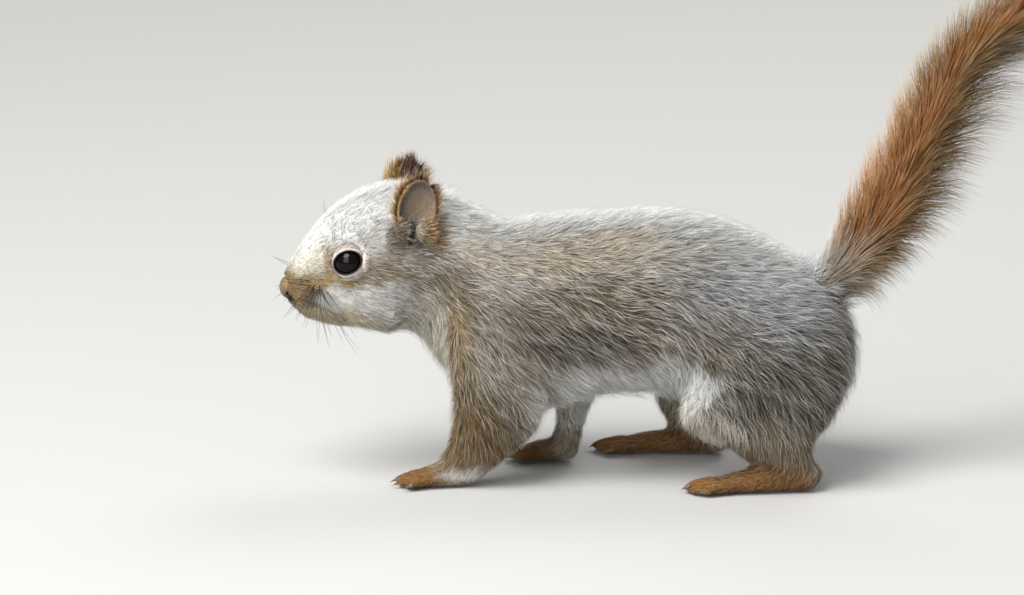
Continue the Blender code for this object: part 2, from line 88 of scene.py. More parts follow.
# How the coat lies: the way that it flows, how deep it stands on the skin and how long its hairs are.
COMB = (
    # node, (along, out, up) in its box, flow, coat depth, hair length
    ("muzzle", (0.16, 0.02, 0.65), (1.0, 0.0, 0.5), 0.5, 1.6),
    ("muzzle", (0.47, 0.09, 0.92), (1.0, 0.0, 0.7), 0.8, 2.4),
    ("muzzle", (0.38, 0.52, 0.5), (1.0, 0.1, -0.05), 0.6, 2.0),
    ("muzzle", (0.47, 0.38, 0.28), (1.0, 0.1, -0.35), 0.6, 2.0),
    ("muzzle", (0.61, 0.02, 0.07), (1.0, 0.0, -0.3), 0.9, 2.6),
    ("head", (0.23, 0.2, 0.84), (1.0, 0.0, 0.8), 1.2, 3.8),
    ("head", (0.58, 0.09, 1.0), (1.0, 0.0, 0.3), 1.8, 5.0),
    ("head", (0.5, 0.72, 0.73), (1.0, 0.1, 0.75), 1.2, 3.6),
    ("head", (0.6, 0.88, 0.53), (1.0, 0.0, -0.1), 1.2, 3.4),
    ("head", (0.5, 0.78, 0.31), (1.0, 0.0, -0.25), 1.6, 4.4),
    ("head", (0.48, 0.3, 0.07), (1.0, 0.0, -0.4), 1.8, 5.0),
    ("head", (0.85, 0.94, 0.39), (1.0, 0.0, -0.45), 2.2, 5.6),
    ("neck", (0.52, 0.18, 1.0), (1.0, 0.0, -0.1), 3.2, 7.5),
    ("neck", (0.58, 0.73, 0.78), (1.0, 0.0, -0.2), 3.0, 7.5),
    ("neck", (0.52, 0.92, 0.52), (1.0, 0.0, -0.6), 3.0, 7.5),
    ("neck", (0.29, 0.5, 0.2), (0.6, 0.0, -1.0), 3.0, 7.5),
    ("neck", (0.15, 0.04, 0.09), (0.8, 0.0, -0.8), 3.0, 7.5),
    ("chest", (0.68, 0.18, 1.0), (1.0, 0.0, 0.0), 3.8, 8.5),
    ("chest", (0.6, 0.77, 0.85), (1.0, 0.0, -0.35), 3.8, 8.5),
    ("chest", (0.9, 0.84, 0.61), (1.0, 0.0, -0.4), 4.2, 8.5),
    ("chest", (0.05, 0.22, 0.31), (0.35, 0.0, -1.0), 3.2, 7.5),
    ("chest", (0.38, 0.14, 0.05), (0.8, 0.0, -0.6), 3.8, 8.0),
    ("chest", (0.9, 0.73, 0.25), (1.0, 0.0, -0.55), 4.0, 8.5),
    ("upper_arm", (0.49, 0.93, 0.9), (0.8, 0.0, -0.8), 3.0, 8.0),
    ("upper_arm", (0.55, 0.93, 0.53), (0.7, 0.0, -0.9), 3.0, 8.0),
    ("upper_arm", (0.11, 0.48, 0.42), (0.4, 0.0, -1.0), 2.2, 6.0),
    ("upper_arm", (0.9, 0.61, 0.27), (0.8, 0.0, -0.8), 3.0, 8.0),
    ("upper_arm", (0.55, 0.87, 0.11), (0.5, 0.0, -1.0), 2.4, 7.0),
    ("upper_arm", (0.49, 0.02, 0.32), (0.4, 0.0, -1.0), 2.0, 5.0),
    ("forearm", (0.4, 0.91, 0.67), (0.25, 0.0, -1.0), 1.6, 5.0),
    ("forearm", (0.1, 0.49, 0.42), (-0.15, 0.0, -1.0), 1.2, 4.0),
    ("forearm", (0.76, 0.49, 0.42), (0.4, 0.0, -1.0), 1.8, 5.0),
    ("forefoot", (0.76, 0.58, 0.8), (-0.5, 0.0, -0.8), 0.6, 2.6),
    ("forefoot", (0.36, 0.51, 0.67), (-1.0, 0.0, -0.2), 0.4, 2.0),
    ("forefoot", (0.11, 0.51, 0.4), (-1.0, 0.0, -0.2), 0.25, 1.5),
    ("loin", (0.51, 0.17, 1.0), (1.0, 0.0, 0.0), 4.2, 8.5),
    ("loin", (0.51, 0.77, 0.82), (1.0, 0.0, -0.15), 4.2, 8.0),
    ("loin", (0.51, 0.86, 0.53), (1.0, 0.0, -0.25), 4.2, 8.0),
    ("loin", (0.51, 0.77, 0.29), (1.0, 0.0, -0.5), 4.2, 8.0),
    ("loin", (0.51, 0.48, 0.1), (0.7, 0.0, -0.9), 4.6, 9.0),
    ("loin", (0.51, 0.1, 0.05), (1.0, 0.0, -0.3), 4.6, 8.5),
    ("rump", (0.22, 0.09, 0.98), (1.0, 0.0, -0.2), 4.2, 8.5),
    ("rump", (0.64, 0.09, 0.74), (1.0, 0.0, -0.35), 3.8, 8.5),
    ("rump", (0.22, 0.73, 0.8), (1.0, 0.0, -0.25), 4.2, 8.5),
    ("rump", (0.68, 0.53, 0.59), (1.0, 0.0, -0.5), 4.2, 9.0),
    ("rump", (0.9, 0.12, 0.38), (0.6, 0.0, -1.0), 5.0, 9.0),
    ("rump", (0.4, 0.05, 0.08), (0.8, 0.0, -0.6), 4.0, 8.0),
    ("rump", (0.66, 0.2, 0.78), (0.9, 0.0, 0.3), 4.5, 8.0),
    ("rump", (0.85, 0.4, 0.62), (0.9, 0.0, 0.25), 4.6, 8.0),
    ("rump", (0.96, 0.3, 0.5), (0.8, 0.0, -0.4), 4.8, 7.5),
    ("thigh", (0.36, 0.8, 0.89), (1.0, 0.0, -0.5), 3.8, 8.5),
    ("thigh", (0.4, 0.99, 0.53), (0.9, 0.0, -0.7), 3.8, 9.0),
    ("thigh", (0.04, 0.6, 0.39), (0.7, 0.0, -0.9), 3.2, 8.5),
    ("thigh", (0.92, 0.5, 0.48), (0.9, 0.0, -0.8), 4.8, 9.5),
    ("thigh", (0.36, 0.94, 0.13), (0.6, 0.0, -1.0), 2.8, 8.0),
    ("thigh", (0.36, 0.01, 0.3), (0.3, 0.0, -1.0), 2.4, 5.5),
    ("shank", (0.49, 0.93, 0.59), (0.3, 0.0, -1.0), 1.8, 6.0),
    ("shank", (0.12, 0.56, 0.43), (-0.3, 0.0, -1.0), 1.4, 4.5),
    ("shank", (0.9, 0.5, 0.34), (0.4, 0.0, -1.0), 1.6, 5.5),
    ("hindfoot", (0.9, 0.43, 0.53), (-0.6, 0.0, -0.6), 0.6, 2.8),
    ("hindfoot", (0.52, 0.49, 0.8), (-1.0, 0.0, -0.2), 0.5, 2.4),
    ("hindfoot", (0.11, 0.49, 0.4), (-1.0, 0.0, -0.2), 0.25, 1.5),
)

# Where the coat takes which fur, painted one over another from first to last.
PATCHES = (
    # fur, node, (along, out, up) in its box, radii, softness of the edge
    ("brown", "loin", (0.3, 0.83, 0.5), (36, 22, 15), 0.7),
    ("umber", "loin", (0.1, 0.77, 0.41), (17, 16, 6.5), 1.3),
    ("smoke", "rump", (0.53, 0.66, 0.54), (36, 24, 34), 0.7),
    ("smoke", "thigh", (0.68, 0.6, 0.44), (26, 16, 26), 0.7),
    ("brown", "thigh", (0.12, 0.8, 0.38), (16, 16, 19), 1.5),
    # Low on the thighs and at the rump's lower rear the fur is darker, partly its own colour and partly
    # painted shade.
    ("dun_and_shade", "thigh", (0.62, 0.7, 0.12), (34, 16, 25), 0.8),
    ("dun_and_shade", "rump", (0.95, 0.4, 0.3), (18, 24, 24), 1.0),
    ("pale", "loin", (0.69, 0.01, 1.01), (78, 32, 21), 0.7),
    ("frost", "loin", (0.63, 0.01, 1.07), (82, 22, 12), 0.7),
    ("frost", "rump", (0.53, 0.19, 0.83), (20, 24, 14), 0.8),
    ("white", "neck", (0.58, 0.0, 1.0), (26, 25, 19), 0.7),
    ("pale", "chest", (0.4, 0.8, 0.88), (26, 15, 15), 0.8),
    ("white", "chest", (0.28, 0.75, 0.87), (15, 13, 8), 1.0),
    ("sand", "chest", (0.4, 0.82, 0.84), (13, 10, 8), 1.2),
    ("white", "neck", (0.75, 0.3, 1.02), (20, 20, 10), 0.8),
    ("sand", "loin", (0.2, 0.7, 0.9), (22, 12, 9), 1.0),
    ("sand", "chest", (0.84, 0.84, 0.83), (12, 11, 7), 1.0),
    ("brown", "neck", (0.39, 0.87, 0.42), (12, 12, 12), 0.9),
    ("tan", "upper_arm", (0.08, 0.48, 0.37), (10, 16, 26), 0.7),
    ("fawn", "forearm", (0.25, 0.85, 0.67), (18, 20, 16), 0.9),
    ("cream", "chest", (0.0, 0.22, 0.37), (10, 15, 24), 0.5),
    ("cream", "neck", (0.05, 0.0, 0.2), (18, 16, 9), 0.7),
    ("white", "loin", (0.38, 0.01, 0.07), (36, 38, 16.5), 0.35),
    ("white", "loin", (0.88, 0.9, 0.2), (12, 10, 7.5), 0.6),
    ("brown", "shank", (0.44, 0.66, 0.51), (26, 14, 12), 0.6),
    ("white", "thigh", (-0.22, 0.5, 0.36), (5.4, 14, 7), 0.9),
    ("white", "thigh", (-0.19, 0.5, 0.24), (5, 14, 6.5), 0.9),
    ("cream", "thigh", (-0.1, 0.5, 0.1), (4.5, 14, 5), 0.6),
    ("cream", "thigh", (0.06, 0.5, -0.06), (4.5, 14, 3.6), 0.7),
    ("straw", "upper_arm", (0.5, 0.0, 0.15), (20, 5, 14), 0.8),
    ("cream", "forearm", (0.3, 0.0, 0.7), (10, 6, 11), 0.8),
    ("straw", "shank", (0.4, 0.0, 0.6), (22, 6, 10), 0.8),
    ("paw", "hindfoot", (0.3, 0.49, 0.4), (30, 14, 9), 0.4),
    ("paw", "forefoot", (0.1, 0.51, 0.4), (16, 12, 6), 0.5),
    ("cheek", "forefoot", (0.72, 0.9, 0.5), (8, 7, 2.6), 1.2),
    ("brown", "head", (0.67, 0.83, 0.5), (15, 12, 10), 1.0),
    ("cheek", "head", (0.45, 0.78, 0.29), (17, 14, 7), 0.7),
    ("cream", "head", (0.43, 0.2, 0.08), (18, 14, 6), 0.7),
    ("pale", "head", (0.48, 0.72, 0.75), (12, 10, 8), 0.9),
    ("white", "head", (0.53, 0.0, 0.98), (24, 18, 13), 0.5),
    ("white", "head", (0.23, 0.0, 0.81), (17, 15, 12), 0.5),
    # Straw under the chin and jaw, darker than the throat's cream: partly its own colour and partly
    # painted shade.
    ("straw", "muzzle", (0.7, 0.0, 0.19), (14, 13, 6), 0.7),
    ("straw", "head", (0.22, 0.5, 0.14), (9, 12, 4.5), 1.6),
    ("fawn", "muzzle", (0.3, 0.2, 0.42), (11, 14, 7.5), 0.6),
    ("tan", "muzzle", (0.66, 0.5, 0.55), (5, 7, 4), 0.9),
    # Darker at the whiskers' roots, partly their own colour and partly painted shade.
    ("umber", "muzzle", (0.5, 0.75, 0.34), (4.5, 5, 2.6), 1.4),
    ("cream", "muzzle", (0.35, 0.0, 0.86), (12.5, 11.5, 9), 0.9),
    ("white", "muzzle", (0.5, 0.0, 1.0), (11, 10.5, 8), 0.8),
    ("tan", "muzzle", (0.68, 0.6, 0.72), (1.8, 6, 5.5), 1.7),
    ("tan", "head", (0.3, 0.85, 0.41), (10, 6, 2.6), 1.2),
    ("ochre", "head", (0.7, 0.85, 0.92), (2.6, 6, 7), 0.8),
    ("ochre", "head", (0.99, 0.84, 0.76), (4.5, 9, 14), 0.8),
    ("brown", "head", (0.68, 0.9, 0.72), (4, 5, 6), 0.9),
    ("grey", "head", (0.92, 0.85, 0.57), (9, 7, 7), 1.0),
    ("ear", "ear", (0.22, 0.7, 0.17), (4, 7, 6), 0.8),
    ("umber", "ear", (0.2, 0.7, 0.17), (3.4, 7, 5), 1.8),
    ("brown", "ear", (0.64, 0.7, 0.2), (3.4, 7, 5), 0.8),
    # Painted shade: the dark slit of the ear's opening between its lobes.
    ("dark", "ear", (0.44, 0.8, 0.2), (1.5, 7, 4.5), 0.9),
    ("cheek", "muzzle", (0.78, 0.72, 0.36), (4.5, 5, 3.2), 0.8),
    ("dark", "muzzle", (0.14, 0.3, 0.33), (1.7, 2.8, 1.7), 0.8),
)

# Each fur's hairs: how dark they are at the root, partly their own banding and partly painted shade
# between the hairs, and how pale their tips are.
BANDS = {
    "white": (0.8, 0.4),
    "pale": (0.5, 0.6),
    "grey": (0.32, 0.5),
    "smoke": (0.34, 0.5),
    "brown": (0.32, 0.42),
    "umber": (0.4, 0.3),
    "tan": (0.36, 0.32),
    "ochre": (0.42, 0.32),
    "fawn": (0.45, 0.28),
    "cheek": (0.6, 0.45),
    "cream": (0.75, 0.4),
    "rust": (0.3, 0.16),
    "bark": (0.4, 0.2),
    "dun_and_shade": (0.35, 0.4),
    "sand": (0.4, 0.5),
    "frost": (0.4, 0.6),
    "straw": (0.5, 0.4),
    "paw": (0.4, 0.25),
    "ear": (0.6, 0.2),
    "sable": (0.45, 0.15),
    "buff": (0.6, 0.25),
    "dark": (0.6, 0.1),
    "ring": (0.85, 0.3),
}

# Pieces of the coat: the nodes that they grow over, tufts for each square millimetre, tuft width in
# millimetres, and how silver its palest hairs are.
COAT = {
    "coat_muzzle": (("muzzle",), 5.0, 0.19, 0.8),
    "coat_face": (("head",), 4.0, 0.21, 0.9),
    "coat_neck": (("neck", "chest"), 2.7, 0.26, 0.95),
    "coat_arms": (("upper_arm",), 3.1, 0.25, 0.8),
    "coat_loin": (("loin",), 3.1, 0.26, 0.95),
    "coat_rump": (("rump",), 2.8, 0.27, 0.95),
    "coat_thighs": (("thigh",), 2.7, 0.27, 0.8),
    "coat_shanks": (("forearm", "shank"), 2.4, 0.25, 0.5),
    "coat_feet": (("forefoot", "hindfoot"), 3.1, 0.21, 0.3),
}
SLOTS = {
    "coat_muzzle": "tan_coat",
    "coat_face": "pale_coat",
    "coat_neck": "grey_coat",
    "coat_arms": "tan_coat",
    "coat_loin": "grey_coat",
    "coat_rump": "grey_coat",
    "coat_thighs": "grey_coat",
    "coat_shanks": "tan_coat",
    "coat_feet": "rusty_coat",
    "coat_tail_lower": "rusty_coat",
    "coat_tail_upper": "rusty_coat",
    "coat_ears": "dark_coat",
    "coat_fringes": "pale_coat",
}
# Loose hairs: their fur, the line on a node that they grow along, the way that they hang and length.
FRINGES = (
    ("white", "thigh", (-0.2, 0.85, 0.5), (-0.12, 0.85, 0.3), (-0.5, 0.1, -0.85), 9.0),
    ("white", "thigh", (-0.12, 0.85, 0.44), (-0.04, 0.85, 0.2), (-0.6, 0.1, -0.8), 8.0),
    ("cream", "thigh", (-0.1, 0.9, 0.3), (0.03, 0.9, 0.12), (0.0, 0.1, -1.0), 8.0),
    ("cream", "thigh", (0.08, 0.9, 0.2), (0.25, 0.9, 0.04), (0.1, 0.1, -1.0), 8.0),
    ("cream", "upper_arm", (0.0, 0.3, 0.4), (0.02, 0.3, 0.0), (-0.6, -0.1, -0.8), 3.5),
    ("cream", "chest", (0.02, 0.3, 0.6), (0.02, 0.3, 0.2), (-0.4, 0.1, -0.9), 5.0),
    ("white", "loin", (0.1, 0.7, 0.2), (0.95, 0.7, 0.2), (0.4, 0.0, -0.9), 7.0),
    ("white", "head", (0.08, 0.1, 0.72), (0.6, 0.1, 1.0), (0.7, 0.1, 0.75), 4.2),
    ("white", "neck", (0.2, 0.12, 1.0), (0.95, 0.12, 1.0), (0.9, 0.1, 0.35), 7.5),
    ("frost", "loin", (-0.9, 0.1, 1.0), (1.0, 0.1, 1.0), (0.95, 0.1, 0.22), 8.0),
    ("frost", "rump", (0.0, 0.1, 1.0), (0.6, 0.1, 0.8), (0.95, 0.1, 0.1), 8.0),
    ("ochre", "head", (0.66, 0.85, 0.84), (0.66, 0.8, 1.0), (0.0, 0.5, 0.85), 3.0),
    ("smoke", "tail_root", (-0.3, 0.3, 0.1), (0.15, 0.3, 0.42), (0.72, 0.05, 0.66), 9.0),
    ("brown", "tail_root", (-0.05, 0.45, 0.05), (0.25, 0.45, 0.35), (0.75, 0.05, 0.6), 10.0),
    # Dark hairs under the tail's foot, like the low rear's fur: partly their own colour and partly
    # painted shade.
    ("dun_and_shade", "tail_root", (0.1, 0.6, -0.05), (0.4, 0.6, 0.2), (0.95, 0.1, 0.2), 11.0),
    ("ochre", "head", (0.98, 0.8, 0.6), (0.93, 0.75, 1.0), (0.9, 0.3, 0.2), 4.0),
)
# How far the copies of the nodes swell to meet, the grain of the outer form and the floor's level.
SWELL, OUTER_VOXEL, FLOOR_LEVEL = 0.3, 1.3, -0.2
# How near points are merged, in metres.
MERGED = 0.00002
# The triangles of the skin's flat map, and the size in it of one hair's own map.
MAP_TRIANGLES, PATCH = 8000, 0.003
# The deepest that the coat stands on the skin, and how flat a hair's section is.
DEEPEST, FLATNESS = 4.6, 0.6
TOES = {"forefoot": 4, "hindfoot": 5}
BROW_HAIRS, WHISKER_WIDTH, FRINGE_WIDTH = 4, 0.34, 0.24
# The brush starts at this share of the tail, and on what is this near its line.
TAIL_START, TAIL_REACH = 0.06, 14.0
# In the ear's own axes, back, out and up: its half sizes, its shift, and its turns about Z, Y and X
# in degrees. Its hair starts above its foot.
EAR_SIZE, EAR_SHIFT, EAR_TURNS = (6.3, 4.4, 10.4), (-0.5, 0.6, 0.8), (-12, 6, -5)
EAR_THICKNESS, EAR_FOOT, EAR_DENSITY = 0.8, -4.2, 5.4
# Pieces of the brush: from which share of the tail to which they go, and their seed.
BRUSH = {"coat_tail_lower": (0.0, 0.38, 51), "coat_tail_upper": (0.38, 1.01, 52)}
BRUSH_DENSITY, BRUSH_WIDTH, LONGEST = 5.3, 0.25, 36.0
# How far behind the ear's middle each lobe of its opening stands, and its half sizes.
LOBES = ((2.4, (2.6, 2.0, 3.7)), (-3.7, (2.9, 1.3, 3.4)))
# Planes that cut the rump's rear: the share along and up of its box, and the way that each faces.
REAR_CUTS = (
    (0.75, 0.66, (0.65, 0, 0.76)),
    (0.9, 0.5, (0.9, 0, 0.44)),
    (0.945, 0.3, (1.0, 0, 0.1)),
)
PALE_TIP = np.array((1.0, 0.97, 0.92))
# The share along and up of the whole's box that the camera looks at.
AIM = (0.2634, 0.3277)


# Sizes and colours that a user would change


def amount(label, told, default, least=0.0, **kind):
    return FloatProperty(name=label, description=told, default=default, min=least, precision=3, **kind)


def fraction(label, told, default):
    return amount(label, told, default, max=1.0, subtype="FACTOR")


def degrees(label, told, default):
    return amount(label, told, math.radians(default), max=math.pi / 2, subtype="ANGLE")


def shade(label, told, default):
    return FloatVectorProperty(
        name=label, description=told, default=default, subtype="COLOR", size=3, min=0, max=1
    )


class SquirrelSizes(PropertyGroup):
    voxel: amount("Skin voxel", "Grain of the skin's surface, in millimetres", 0.85, 0.4)
    core: amount("Tail core", "Half thickness of the tail under its hair, in millimetres", 3.4, 1.0)
    clump: fraction("Clumping", "How far the tips of neighbouring hairs draw together", 0.35)
    stray: fraction("Stray hairs", "Share of hairs that are long and stand out", 0.12)
    ruffle: fraction("Ruffle", "How unevenly the coat lies", 0.28)
    lid: amount("Lid thickness", "Thickness of the eyelids, in millimetres", 0.45, 0.1)
    opening_length: degrees("Eye opening length", "Half the opening's angle, corner to corner", 53.0)
    opening_height: degrees("Eye opening height", "Half the opening's angle, lid to lid", 41.0)
    claw: amount("Claw length", "Length of a claw on a forefoot, in millimetres", 4.0, 1.0)
    whisker: amount("Whisker length", "Length of the longest whiskers, in millimetres", 25.0, 5.0)
    whiskers: IntProperty(
        name="Whiskers", description="Whiskers on each side", default=26, min=1, subtype="UNSIGNED"
    )


class SquirrelColours(PropertyGroup):
    white: shade("White", "Crown, nape, back and belly", (0.8, 0.8, 0.775))
    pale: shade("Pale grey", "Where the back turns to the flank", (0.66, 0.63, 0.58))
    grey: shade("Grey", "Flanks", (0.53, 0.465, 0.37))
    smoke: shade("Smoke", "Rump", (0.56, 0.565, 0.59))
    # Darker fur low on the thighs and behind: partly its own colour and partly painted shade.
    dun_and_shade: shade("Dusk", "Thighs, low and behind", (0.14, 0.12, 0.08))
    frost: shade("Frost", "Top of the back and shoulders", (0.72, 0.725, 0.71))
    straw: shade("Straw", "Chin and insides of the legs", (0.55, 0.46, 0.29))
    sand: shade("Sand", "Shoulder and below the ear", (0.74, 0.63, 0.48))
    brown: shade("Brown", "Lower flank and neck", (0.35, 0.275, 0.18))
    umber: shade("Umber", "Band above the belly", (0.14, 0.11, 0.073))
    tan: shade("Tan", "Front of the forelegs", (0.4, 0.285, 0.145))
    ochre: shade("Ochre", "Before the eye and round the ear", (0.46, 0.26, 0.06))
    fawn: shade("Fawn", "Muzzle", (0.25, 0.16, 0.07))
    cheek: shade("Cheek", "Cheek and jaw", (0.68, 0.66, 0.62))
    cream: shade("Cream", "Throat, breast and groin", (0.7, 0.65, 0.54))
    rust: shade("Rust", "Tail", (0.36, 0.14, 0.028))
    bark: shade("Bark", "Underside of the tail", (0.17, 0.095, 0.03))
    paw: shade("Paw", "Feet", (0.25, 0.12, 0.036))
    ear: shade("Ear", "Inside of the ears", (0.34, 0.27, 0.22))
    sable: shade("Sable", "Backs of the ears", (0.1, 0.045, 0.022))
    buff: shade("Buff", "Rims of the ears", (0.36, 0.25, 0.16))
    dark: shade("Dark", "Rims, nostrils and whiskers", (0.02, 0.014, 0.011))
    ring: shade("Eye ring", "Ring of short hair round the eye", (0.8, 0.7, 0.64))
    nose: shade("Nose", "Bare skin of the nose", (0.2, 0.135, 0.075))
    iris: shade("Iris", "Iris", (0.004, 0.002, 0.0015))
    claw: shade("Claw", "Horn of the claws", (0.07, 0.045, 0.03))
    floor: shade("Floor", "Studio floor", (0.46, 0.45, 0.43))


class SquirrelStage(PropertyGroup):
    distance: amount("Camera distance", "From the camera to where it looks", 3.0, unit="LENGTH")
    rise: degrees("Camera elevation", "How far above level the camera stands", 14.0)
    view_width: amount("View width", "Width of the view at the squirrel", 0.32768, unit="LENGTH")
    key: amount("Key light", "Power of the light above", 33.0, unit="POWER")
    fill: amount("Fill light", "Power of the light beside the camera", 19.0, unit="POWER")
    sky: amount("Sky", "Strength of the light from all round", 0.38)


def sizes():
    return bpy.context.scene.squirrel_sizes


def colours():
    return bpy.context.scene.squirrel_colours


# Places in the frame


def box(node):
    low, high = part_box(node)
    return np.array(low) / MM, np.array(high) / MM


def centre(node):
    low, high = box(node)
    return (low + high) / 2


def spots(node, along, out, up):
    """A place in a node's box, on each side: [(side, point)]. Out runs from the middle to the flank."""
    found = []
    for side, name in SIDES.items():
        paired = f"{node}_{name}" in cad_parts
        low, high = box(f"{node}_{name}" if paired else node)
        middle = (low[1] + high[1]) / 2
        outer = high[1] if side == RIGHT else low[1]
        inner = (low[1] if side == RIGHT else high[1]) if paired else middle
        x = low[0] + along * (high[0] - low[0])
        z = low[2] + up * (high[2] - low[2])
        found.append((side, np.array((x, inner + out * (outer - inner), z))))
    return found


def head_axes():
    """Unit vectors of the head: towards the nose, to its right and up."""
    right = centre("eye_right") - centre("eye_left")
    right /= np.linalg.norm(right)
    fore = np.array((-1.0, 0.0, 0.0))
    fore -= right * fore.dot(right)
    fore /= np.linalg.norm(fore)
    return fore, right, np.cross(right, fore)


def between_eyes():
    return (centre("eye_left") + centre("eye_right")) / 2


def tail_line(count=160):
    """Points along the tail's core, from inside the rump to the last joint, and the way that it runs."""
    knots = [centre("rump") + (4, 0, 2)]
    knots += [centre(node) for node in TAIL]
    low, high = box("tail_tip")
    knots.append(np.array((high[0] - 6, (low[1] + high[1]) / 2, high[2] - 7)))
    knots = np.array(knots)
    reach = np.linspace(0, len(knots) - 1, count)
    line = np.stack([smooth_between(knots[:, axis], reach) for axis in range(3)], axis=1)
    way = unit(np.gradient(line, axis=0))
    back = unit(np.cross(way, (0.0, 1.0, 0.0)))
    share = np.linspace(0, 1, count)[:, None]
    return line + back * 3.5 * np.sin(math.pi * share), way


def smooth_between(values, reach):
    """A Catmull-Rom curve through the values, read at places counted in steps between them."""
    padded = np.concatenate([[2 * values[0] - values[1]], values, [2 * values[-1] - values[-2]]])
    start = np.minimum(reach.astype(int), len(values) - 2)
    t = reach - start
    a, b, c, d = (padded[start + k] for k in range(4))
    square, cube = 2 * a - 5 * b + 4 * c - d, 3 * b - a - 3 * c + d
    return 0.5 * (2 * b + (c - a) * t + square * t**2 + cube * t**3)


def unit(vectors):
    return vectors / np.maximum(np.linalg.norm(vectors, axis=-1, keepdims=True), 1e-9)


def smoothstep(low, high, values):
    t = np.clip((values - low) / (high - low), 0, 1)
    return t * t * (3 - 2 * t)


def ripple(points, wavelength, seed, waves=10):
    """Smooth noise of about -1 to 1 with three numbers for each point, from waves that cross."""
    random = np.random.default_rng(seed)
    total = np.zeros_like(points)
    for _ in range(waves):
        way = unit(random.normal(size=3)) * random.uniform(0.7, 1.4)
        phase = random.uniform(0, math.tau, 3)
        total += np.sin((points @ way)[:, None] * math.tau / wavelength + phase)
    return total / math.sqrt(waves)


# Comb and markings


def comb_guides():
    """The comb's rows on both sides, as arrays: places, flows, depths, lengths, and each one's node."""
    rows = []
    for node, (along, out, up), flow, depth, hair in COMB:
        for side, place in spots(node, along, out, up):
            rows.append((place, (flow[0], flow[1] * side, flow[2]), depth, hair, node))
    return [np.array(column) for column in zip(*rows)]


GUIDES = comb_guides()


def combed(points):
    """Flow, coat depth, hair length and the number of the nearest guide, for each point."""
    places, flows, depths, hairs, _ = GUIDES
    apart = (points**2).sum(axis=1)[:, None] + (places**2).sum(axis=1)[None] - 2 * points @ places.T
    weights = 1 / (np.maximum(apart, 0) + 9.0) ** 2
    weights /= weights.sum(axis=1, keepdims=True)
    return weights @ flows, weights @ depths, weights @ hairs, apart.argmin(axis=1)


def fur_bands(fur):
    """The colours of a fur's hairs at root, middle and tip."""
    middle = np.array(getattr(colours(), fur))
    dark, pale = BANDS[fur]
    return np.array((middle * dark, middle, middle + (PALE_TIP - middle) * pale))


def painted(points):
    """The coat's colours at each point: points, by root, middle and tip, by red, green and blue."""
    warped = points + ripple(points, 9.0, seed=3) * 1.1
    bands = np.repeat(fur_bands("grey")[None], len(points), axis=0)
    for fur, node, (along, out, up), radii, softness in PATCHES:
        mask = np.zeros(len(points))
        for _, place in spots(node, along, out, up):
            reach = np.linalg.norm((warped - place) / radii, axis=1)
            mask = np.maximum(mask, smoothstep(1 + softness / 2, 1 - softness / 2, reach))
        bands = laid_over(bands, fur, mask)
    bands = laid_over(bands, "ring", eye_reach(points, 6.6, 5.7, 0.16))
    bands = laid_over(bands, "dark", eye_reach(points, 5.0, 4.0, 0.05))
    return bands


def laid_over(bands, fur, mask):
    mask = mask[:, None, None]
    return bands * (1 - mask) + fur_bands(fur)[None] * mask


def eye_reach(points, half_length, half_height, softness):
    """A mask of an oval round either eye, seen along the eye's own axis."""
    mask = np.zeros(len(points))
    for eye in EYES:
        look, ahead, above = eye_axes(eye)
        away = points - centre(eye)
        oval = np.hypot(away @ ahead / half_length, away @ above / half_height)
        outer = smoothstep(0.0, 2.0, away @ look)
        mask = np.maximum(mask, outer * smoothstep(1 + softness, 1 - softness, oval))
    return mask


def eye_axes(eye):
    """Unit vectors of an eye: the way that it looks, towards its front corner and up."""
    fore, right, up = head_axes()
    side = RIGHT if eye == EYES[1] else LEFT
    look = unit(right * side + fore * 0.22 + up * 0.16)
    ahead = unit(fore - look * fore.dot(look) - up * 0.36)
    return look, ahead, unit(np.cross(look, ahead) * side)


def on_ear(points, normals):
    """Places in the nearer ear's axes (back, out, up), which are in its cup, and how near its rim."""
    local, facing = np.empty_like(points), np.empty_like(points)
    side = np.where(points[:, 1] > between_eyes()[1], RIGHT, LEFT)
    for ear in EARS:
        middle, axes, this = ear_axes(ear)
        mine = side == this
        local[mine] = (points[mine] - middle) @ axes * (1, this, 1)
        facing[mine] = normals[mine] @ axes * (1, this, 1)
    inner = (facing * (local - (0, 3.0, 0))).sum(axis=1) < 0
    return local, inner, smoothstep(0.7, 1.4, local[:, 1])


def ear_painted(points, normals):
    """The ears' colours: dark in the cup, with painted shade at its foot and edges and painted light in
    its middle; sable behind, ochre before and behind their foot.
    """
    local, inner, rim = on_ear(points, normals)
    bands = np.where(inner[:, None, None], fur_bands("ear")[None], fur_bands("sable")[None])
    # Painted shade: the foot of the cup, where the ear opens, is dark.
    bands = laid_over(bands, "dark", inner * smoothstep(-3.0, -5.0, local[:, 2]))
    # Painted light in the middle of the cup (buff) and painted shade towards its edges (umber).
    glow = np.linalg.norm((local - (1.2, 0, 0.5)) * (1, 0, 0.8), axis=1)
    bands = laid_over(bands, "buff", inner * smoothstep(5.5, 1.5, glow) * 0.6)
    bands = laid_over(bands, "umber", inner * smoothstep(4.0, 7.0, glow) * 0.6)
    front = smoothstep(-0.5, -4.0, local[:, 0] + 0.12 * local[:, 2])
    rear = smoothstep(1.5, 4.5, local[:, 0]) * smoothstep(9.0, 4.0, local[:, 2])
    bands = laid_over(bands, "ochre", np.maximum(front, rear) * ~inner)
    return laid_over(bands, "buff", rim * 0.85)


# Meshes


def select_only(*things):
    bpy.ops.object.select_all(action="DESELECT")
    for thing in things:
        thing.select_set(True)
    bpy.context.view_layer.objects.active = things[0]


def added(operator, **settings):
    """What one of Blender's own operators adds, with nothing else selected."""
    bpy.ops.object.select_all(action="DESELECT")
    operator(**settings)
    return bpy.context.view_layer.objects.active


